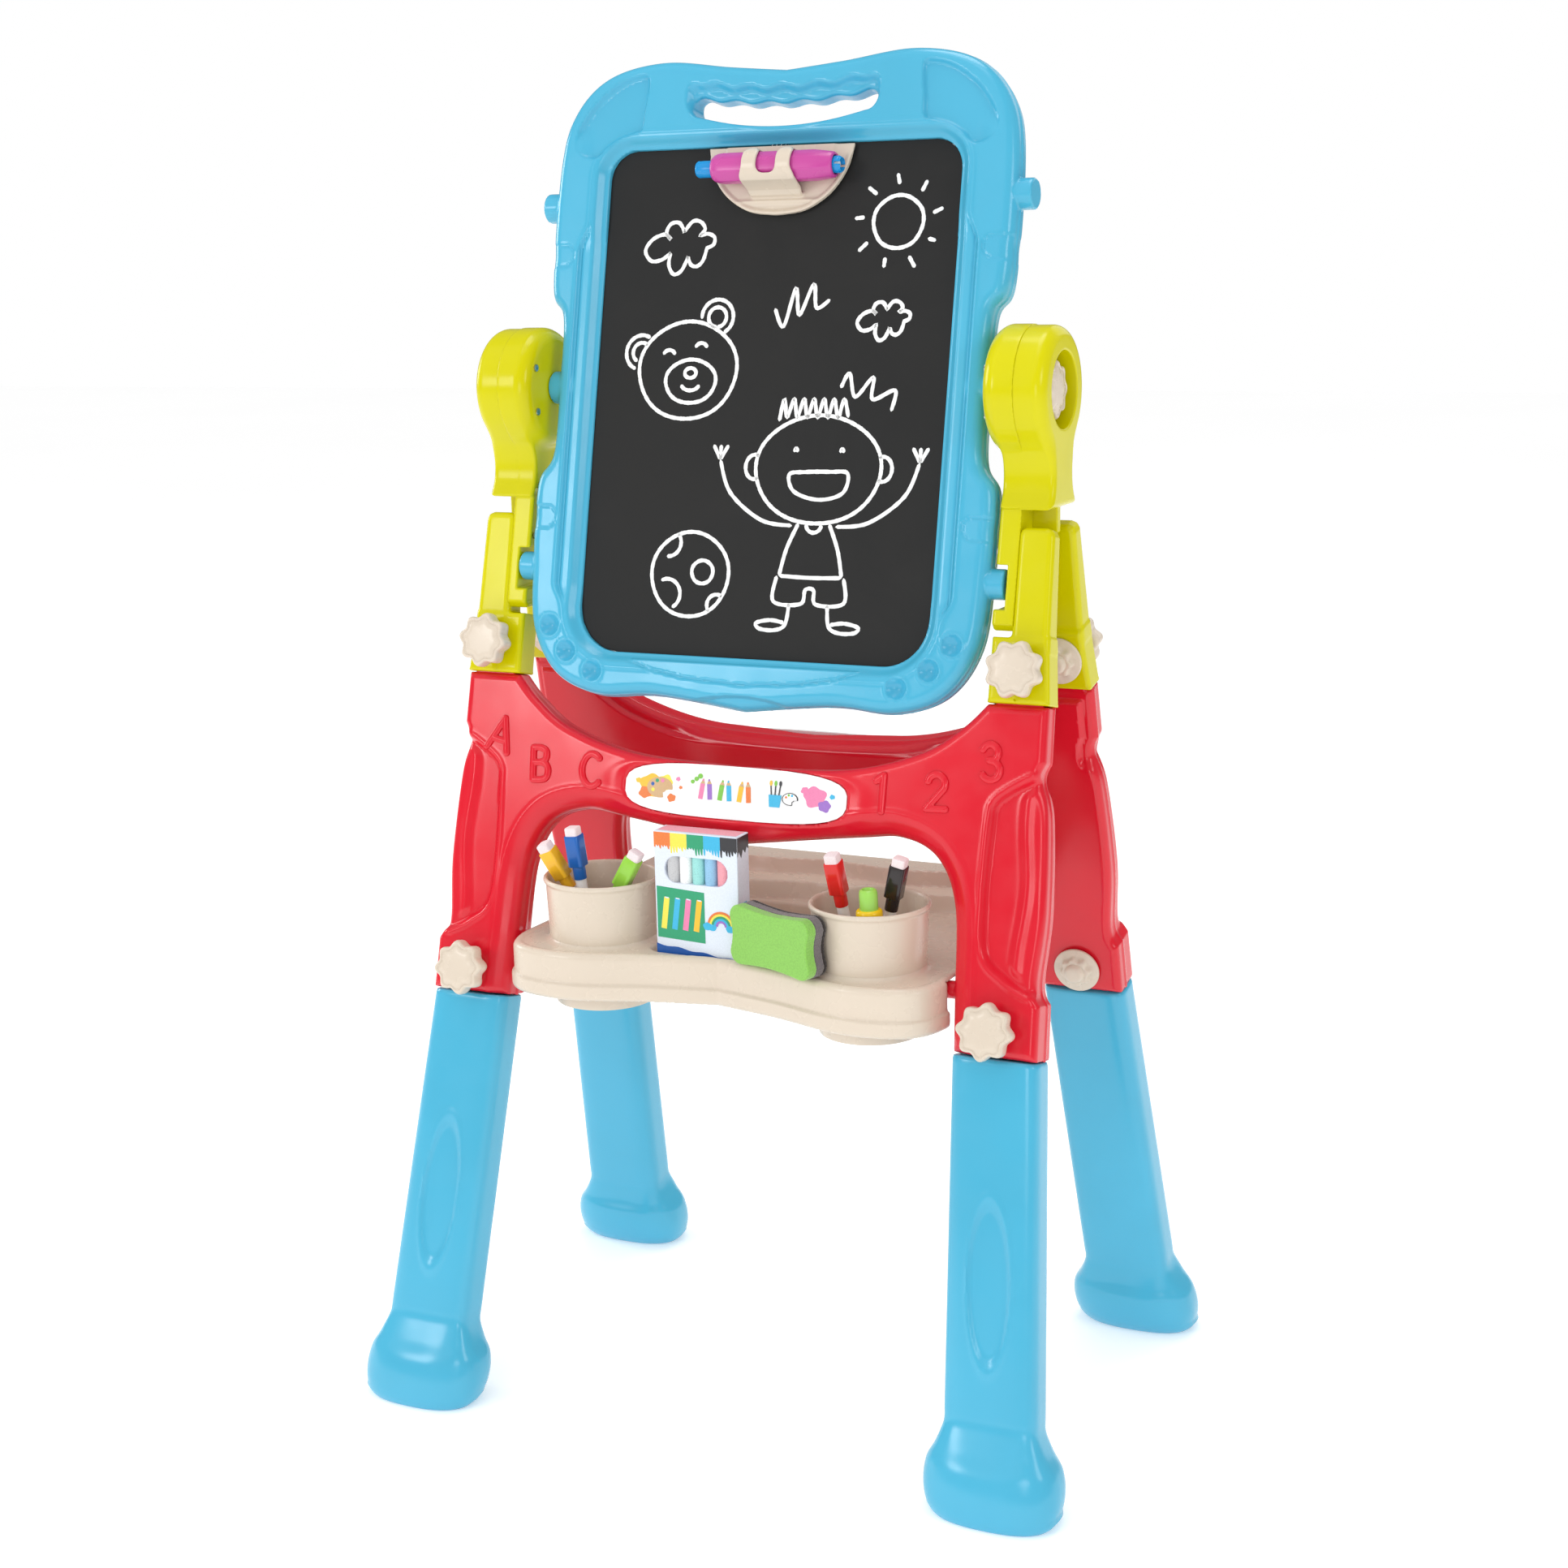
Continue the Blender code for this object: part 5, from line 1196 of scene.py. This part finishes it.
def make_chalk_box():
    w, t, tall = 0.0335, 0.0095, 0.099
    place = Matrix.Translation((-0.0185, -0.0915, 0.3453))

    def field(x, y, z):
        d = slab(rounded_box(x, y, -w, w, -t, t, 0.0006), 0.0, tall, z, 0.0006)
        window = np.maximum(rounded_box(x, z, -0.0253, 0.0253, 0.0612, 0.081, 0.0098), y + 0.004)
        flap = np.maximum(np.abs(z - tall) - 0.0004, np.abs(y + t - 0.0022) - 0.0004)
        return cut(cut(d, window, 0.0003), flap, 0.0003)

    mesh = moulded("carton", field, (-0.035, -0.011, -0.002), (0.035, 0.011, 0.101), 0.00095, "carton")
    piece("chalk_carton", mesh, "chalk_box", place, ["chalk_box"])
    profile = ((0.85, 0.06), (1, 0.0606), (1, 0.0815), (0.9, 0.0822))
    for i, tone in enumerate(("grey", "white", "mint", "sky", "pink")):
        rings = [ring(0.0048 * share, z, 48) for share, z in profile]
        stick = make_mesh("chalk_stick", *loft(rings), [f"chalk_{tone}"])
        at = place @ Matrix.Translation((-0.0202 + 0.0101 * i, -0.0042, 0))
        piece(f"chalk_stick_{i + 1}", stick, "chalk_box", at)
    lid = [(-w + 0.002, -t + 0.003), (w - 0.002, -t + 0.003), (w - 0.002, t - 0.001), (-w + 0.002, t - 0.001)]
    front = place @ Matrix.Translation((0, -t, 0))
    side = place @ Matrix.Translation((w, 0, 0)) @ Matrix.Rotation(math.pi / 2, 4, "Z")
    roof = place @ Matrix.Translation((0, 0, tall)) @ Matrix.Rotation(-math.pi / 2, 4, "X")
    decals("carton_print", carton_front(w, tall), front, "chalk_box", 0.00006)
    decals("carton_side_print", carton_side(t, tall), side, "chalk_box", 0.00006)
    decals("carton_lid", [(lid, "chalk_pink")], roof, "chalk_box", 0.00006)


# ---- Label art and chalk drawing ------------------------------------------------------------------


def palette(cx, cz, size):
    """Painter's palette with a thumb bay."""
    body = disc(cx, cz, size, size * 0.72, 40)
    bay = np.hypot(body[:, 0] - cx - size * 0.75, body[:, 1] - cz + size * 0.55) < size * 0.42
    body[bay] = body[bay] * 0.55 + np.array([cx, cz]) * 0.45
    return body


def label_art():
    """Printed shapes of the label: paint splashes, palettes, pencils, a water glass with brushes."""
    splashes = mm(
        "-66.5 1 10, -56 4 6.2, -72 -4.5 5, -50 -7 3.4, -78 4 2.2, -45.5 7 1.8, -43 1 1.4, "
        "64 2 8.6, 72 -4 4.8, 56 6 3, 77.5 3 2"
    )
    tones = prints("amber yellow orange orange amber pink orange pink violet pink sky")
    art = [(disc(x, z, r, r * 0.85, 40, 0.09, i * 1.7), tones[i]) for i, (x, z, r) in enumerate(splashes)]

    def dots(places, names, radius, count):
        art.extend((disc(x, z, radius, count=count), tone) for (x, z), tone in zip(mm(places), prints(names)))

    art.append((palette(-0.06, 0.0, 0.0105), "print_wood"))
    dots("-66 2.2, -62.5 4.8, -58 5, -65.5 -2", "navy green pink yellow", 0.0014, 28)
    for i, tone in enumerate(prints("pink violet leaf sky amber orange")):
        x = -0.0265 + 0.0078 * i
        lean = 0.0012 * (-1) ** i
        art.append((bar(x, -0.006, x + lean, 0.0052, 0.0036), tone))
        tip = [(x + lean - 0.0018, 0.0052), (x + lean + 0.0018, 0.0052), (x + lean * 1.4, 0.009)]
        art.append((tip, "print_wood"))
        art.append((disc(x + lean * 1.35, 0.0078, 0.0007, 0.0009, 10), tone))
    for i in range(3):
        art.append((disc(-0.0335 + 0.003 * i, 0.006 + 0.0022 * i, 0.0014 + 0.0002 * i), "print_leaf"))
    art.append((mm("29 -7.5, 37 -7.5, 38 1.2, 28 1.2"), "print_sky"))
    for i, tone in enumerate(prints("amber leaf ink")):
        x, tip = 0.03 + 0.003 * i, 0.0008 * (i - 1)
        art.append((bar(x, 0.0012, x + tip, 0.008, 0.0007), "print_ink"))
        art.append((disc(x + tip, 0.0095, 0.001, 0.0019, 16), tone))
    art.append((palette(0.045, -0.001, 0.0062), "print_ink"))
    art.append((palette(0.045, -0.001, 0.0055), "label"))
    dots("42 .2, 44 1.8, 46.6 1.6", "orange leaf sky", 0.0009, 14)
    return art


def make_labels():
    for end, place, _ in ENDS:
        at = place @ Matrix.Translation((0, 0.0004, -LABEL_ALONG))
        decals(f"label_art_{end}", label_art(), at, f"{end}_frame", 0.00005)


def ribbon(points, width, closed):
    """Low rounded ribbon along a drawn line: (points, faces)."""
    path = curve_through(points, 8, closed)
    keep = [path[0]]
    for p in path[1:]:
        if np.linalg.norm(p - keep[-1]) > 0.0006:
            keep.append(p)
    path = np.array(keep)
    if closed:
        ahead, behind = np.roll(path, -1, axis=0), np.roll(path, 1, axis=0)
    else:
        ahead, behind = np.vstack([path[1:], path[-1:]]), np.vstack([path[:1], path[:-1]])
    along = ahead - behind
    doubled_back = np.linalg.norm(along, axis=1) < 1e-5
    along[doubled_back] = (ahead - path)[doubled_back]
    tangent = along / np.linalg.norm(along, axis=1, keepdims=True)
    across = np.stack([-tangent[:, 1], tangent[:, 0]], 1)
    travelled = np.concatenate([[0], np.cumsum(np.linalg.norm(np.diff(path, axis=0), axis=1))])
    uneven = 1 + 0.07 * np.sin(travelled * 900) + 0.05 * np.sin(travelled * 2300)
    half = np.full(len(path), width / 2) * uneven
    if not closed:
        near = np.minimum(travelled, travelled[-1] - travelled)
        half = half * np.sqrt(np.clip(1 - (1 - np.minimum(near / (width / 2), 1)) ** 2, 0.04, 1))
    rows = [path + across * half[:, None] * share for share in (-1, -0.8, 0.8, 1)]
    high = (0.0, 0.00022, 0.00022, 0.0)
    made = [(row[i][0], -lift, row[i][1]) for i in range(len(path)) for row, lift in zip(rows, high)]
    faces, count = [], len(path)
    for i in range(count if closed else count - 1):
        j = (i + 1) % count
        for k in range(4):
            m = (k + 1) % 4
            faces.append([4 * i + k, 4 * i + m, 4 * j + m, 4 * j + k])
    if not closed:
        faces += [[3, 2, 1, 0], [4 * count - 4, 4 * count - 3, 4 * count - 2, 4 * count - 1]]
    return made, faces


def drawing():
    """The chalk lines, (points, closed), in metres from the pivot: sun, clouds, face, ball and child."""
    lines = []

    def draw(points, closed=False, at=(0, 0), side=1):
        lines.append((np.array(points) * (side, 1) + at, closed))

    x, z = 0.0934, 0.1168
    draw(disc(x, z, 0.019, 0.0186, 14, 0.012), True)
    for i in range(9):
        a, r0, r1 = math.radians(12 + 40 * i), 0.0262, 0.0345 + 0.0015 * math.sin(3 * i)
        ends = ((r0, a), (r1, a + 0.05))
        draw([(x + r * math.cos(turn), z + r * math.sin(turn)) for r, turn in ends])
    # Rows of the clouds are in thousandths of the cloud's size.
    lobes = (
        "-280 220, -460 340, -790 220, -980 -60, -800 -320, -500 -300",
        "-260 -140, -280 -440, -130 -670, 90 -580",
        "250 -250, 350 -440, 520 -480, 680 -340",
        "770 -30, 950 60, 960 240, 770 330",
        "550 290, 680 450, 550 630, 320 650",
        "100 400, -60 620, -300 600, -410 380",
    )
    cloud = np.vstack([part for lobe in lobes for part in (mm(lobe)[:1], mm(lobe))])
    for cx, cz, size in mm("-78.5 102.2 29, 87.5 47.4 20.5"):
        draw(size * cloud, True, (cx, cz))
    draw(mm("2.3 56.9, 10 44, 17.8 71.2, 21.9 52, 31.7 73.9, 35 57, 45.2 62.8"))
    draw(mm("58.4 0, 64.5 10.4, 70 -6.2, 82.8 7.5, 83.5 -7.9, 100.2 -1.5, 98.3 -16.3"))
    x, z = -0.065, 0.0125
    draw(disc(x, z, 0.04, 0.0355, 24, 0.008), True)
    for ex, ez, start in ((x - 0.039, z + 0.013, 45), (x + 0.0215, z + 0.0385, -30)):
        for size in (0.0128, 0.0072):
            ear = arc_points(ex, ez, size, size, start - 60, start + 300, 40)
            outside = np.hypot((ear[:, 0] - x) / 0.04, (ear[:, 1] - z) / 0.0355) > 1.0
            draw(ear[outside][::3])
    for ex, ez in ((x - 0.016, z + 0.01), (x + 0.01, z + 0.015)):
        draw(arc_points(ex, ez, 0.005, 0.0048, 15, 165, 7))
    draw(disc(x + 0.003, z - 0.008, 0.0205, 0.0158, 18, 0.01), True)
    draw(disc(x + 0.0025, z - 0.002, 0.0046, 0.0036, 12), True)
    draw(arc_points(x + 0.003, z - 0.0085, 0.008, 0.0062, 200, 340, 8))
    x, z = -0.0512, -0.136
    draw(disc(x, z, 0.0314, 0.0308, 22, 0.006), True)
    draw(disc(x + 0.01, z + 0.002, 0.0086, 0.0084, 14, 0.01), True)
    draw(arc_points(x - 0.019, z + 0.0225, 0.01, 0.01, -95, 42, 10))
    draw(arc_points(x - 0.018, z - 0.015, 0.011, 0.011, -62, 118, 10))
    draw(arc_points(x + 0.023, z - 0.0215, 0.0075, 0.0075, 55, 222, 10))
    x, z = 0.045, -0.058
    draw(disc(x, z, 0.049, 0.0385, 26, 0.006), True)
    for side in (-1, 1):
        turn = 90 * (1 - side)
        draw(arc_points(x + side * 0.05, z + 0.001, 0.0072, 0.0088, -118 + turn, 118 + turn, 10))
        draw(arc_points(x + side * 0.018, z + 0.012, 0.0012, 0.0028, 0, 180, 5))
        draw(mm("12 -96.5, 20 -115, 24.5 -134.5"), False, (x, 0), side)
        hand_x, hand_z = x + side * 0.078, -0.046
        arm = mm("17 -98.5, 42 -95, 68 -76") * (side, 1) + (x, 0)
        draw([*arm, (hand_x, hand_z - 0.006)])
        for reach in (-0.006, 0.0, 0.006):
            draw([(hand_x, hand_z - 0.006), (hand_x + reach, hand_z + 0.0045)])
        draw(mm("15 -154, 17 -169, 25 -173.5, 37 -173, 40 -169, 29 -166.5, 18 -168"), False, (x, 0), side)
    draw(mm("-22 -4, -10 -2, 10 -1.5, 23.5 -2.5, 20.5 -16.5, 2 -21.5, -17.5 -16"), True, (x, z))
    hair = [(x - 0.033, z + 0.034)]
    for i in range(7):
        hair += [(x - 0.03 + 0.0078 * i, z + 0.05), (x - 0.027 + 0.008 * i, z + 0.037)]
    draw(hair)
    draw(arc_points(x, -0.097, 0.006, 0.006, 180, 360, 8))
    draw(mm("-24.5 -134.5, 0 -135.2, 24.5 -134.5"), False, (x, 0))
    shorts = mm("-26.2 -134.5, -27.5 -153, -6 -154, -3 -144, 3.5 -144, 6 -154, 27.5 -152.5, 26.2 -134.5")
    draw(shorts, False, (x, 0))
    return lines


def make_drawing():
    points, faces = [], []
    for line, closed in drawing():
        made, sides = ribbon(line, 0.003, closed)
        faces += [[len(points) + i for i in face] for face in sides]
        points += made
    mesh = make_mesh("chalk_drawing", points, faces, ["chalk_white"])
    place = BOARD @ Matrix.Translation((0, -0.0036, 0))
    piece("chalk_drawing", mesh, "board", place)


def dress_frame_nodes():
    """The CAD nodes that stay get their materials."""
    keep = {"blackboard_panel": "black_panel", "whiteboard_panel": "white_panel"}
    keep |= dict.fromkeys(("label_front", "label_rear"), "label")
    keep |= dict.fromkeys(("clip_hinge_pin", "clip_spring"), "steel")
    keep |= {f"pivot_insert_{side}": "steel" for _, side in SIDES}
    keep |= {f"hinge_pin_{end}_{side}": "steel" for end, _, _ in ENDS for _, side in SIDES}
    for name, look in keep.items():
        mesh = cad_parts[name].data
        if not mesh.materials:
            mesh.materials.append(LOOK[look])
        for index in range(len(mesh.materials)):
            mesh.materials[index] = LOOK[look]


set_stage()
set_camera()
make_board()
make_arches()
make_hubs()
make_screws()
make_brackets()
make_legs()
make_fasteners()
make_tray()
make_clip()
make_holder()
make_markers()
make_eraser()
make_chalk_box()
make_labels()
make_drawing()
dress_frame_nodes()
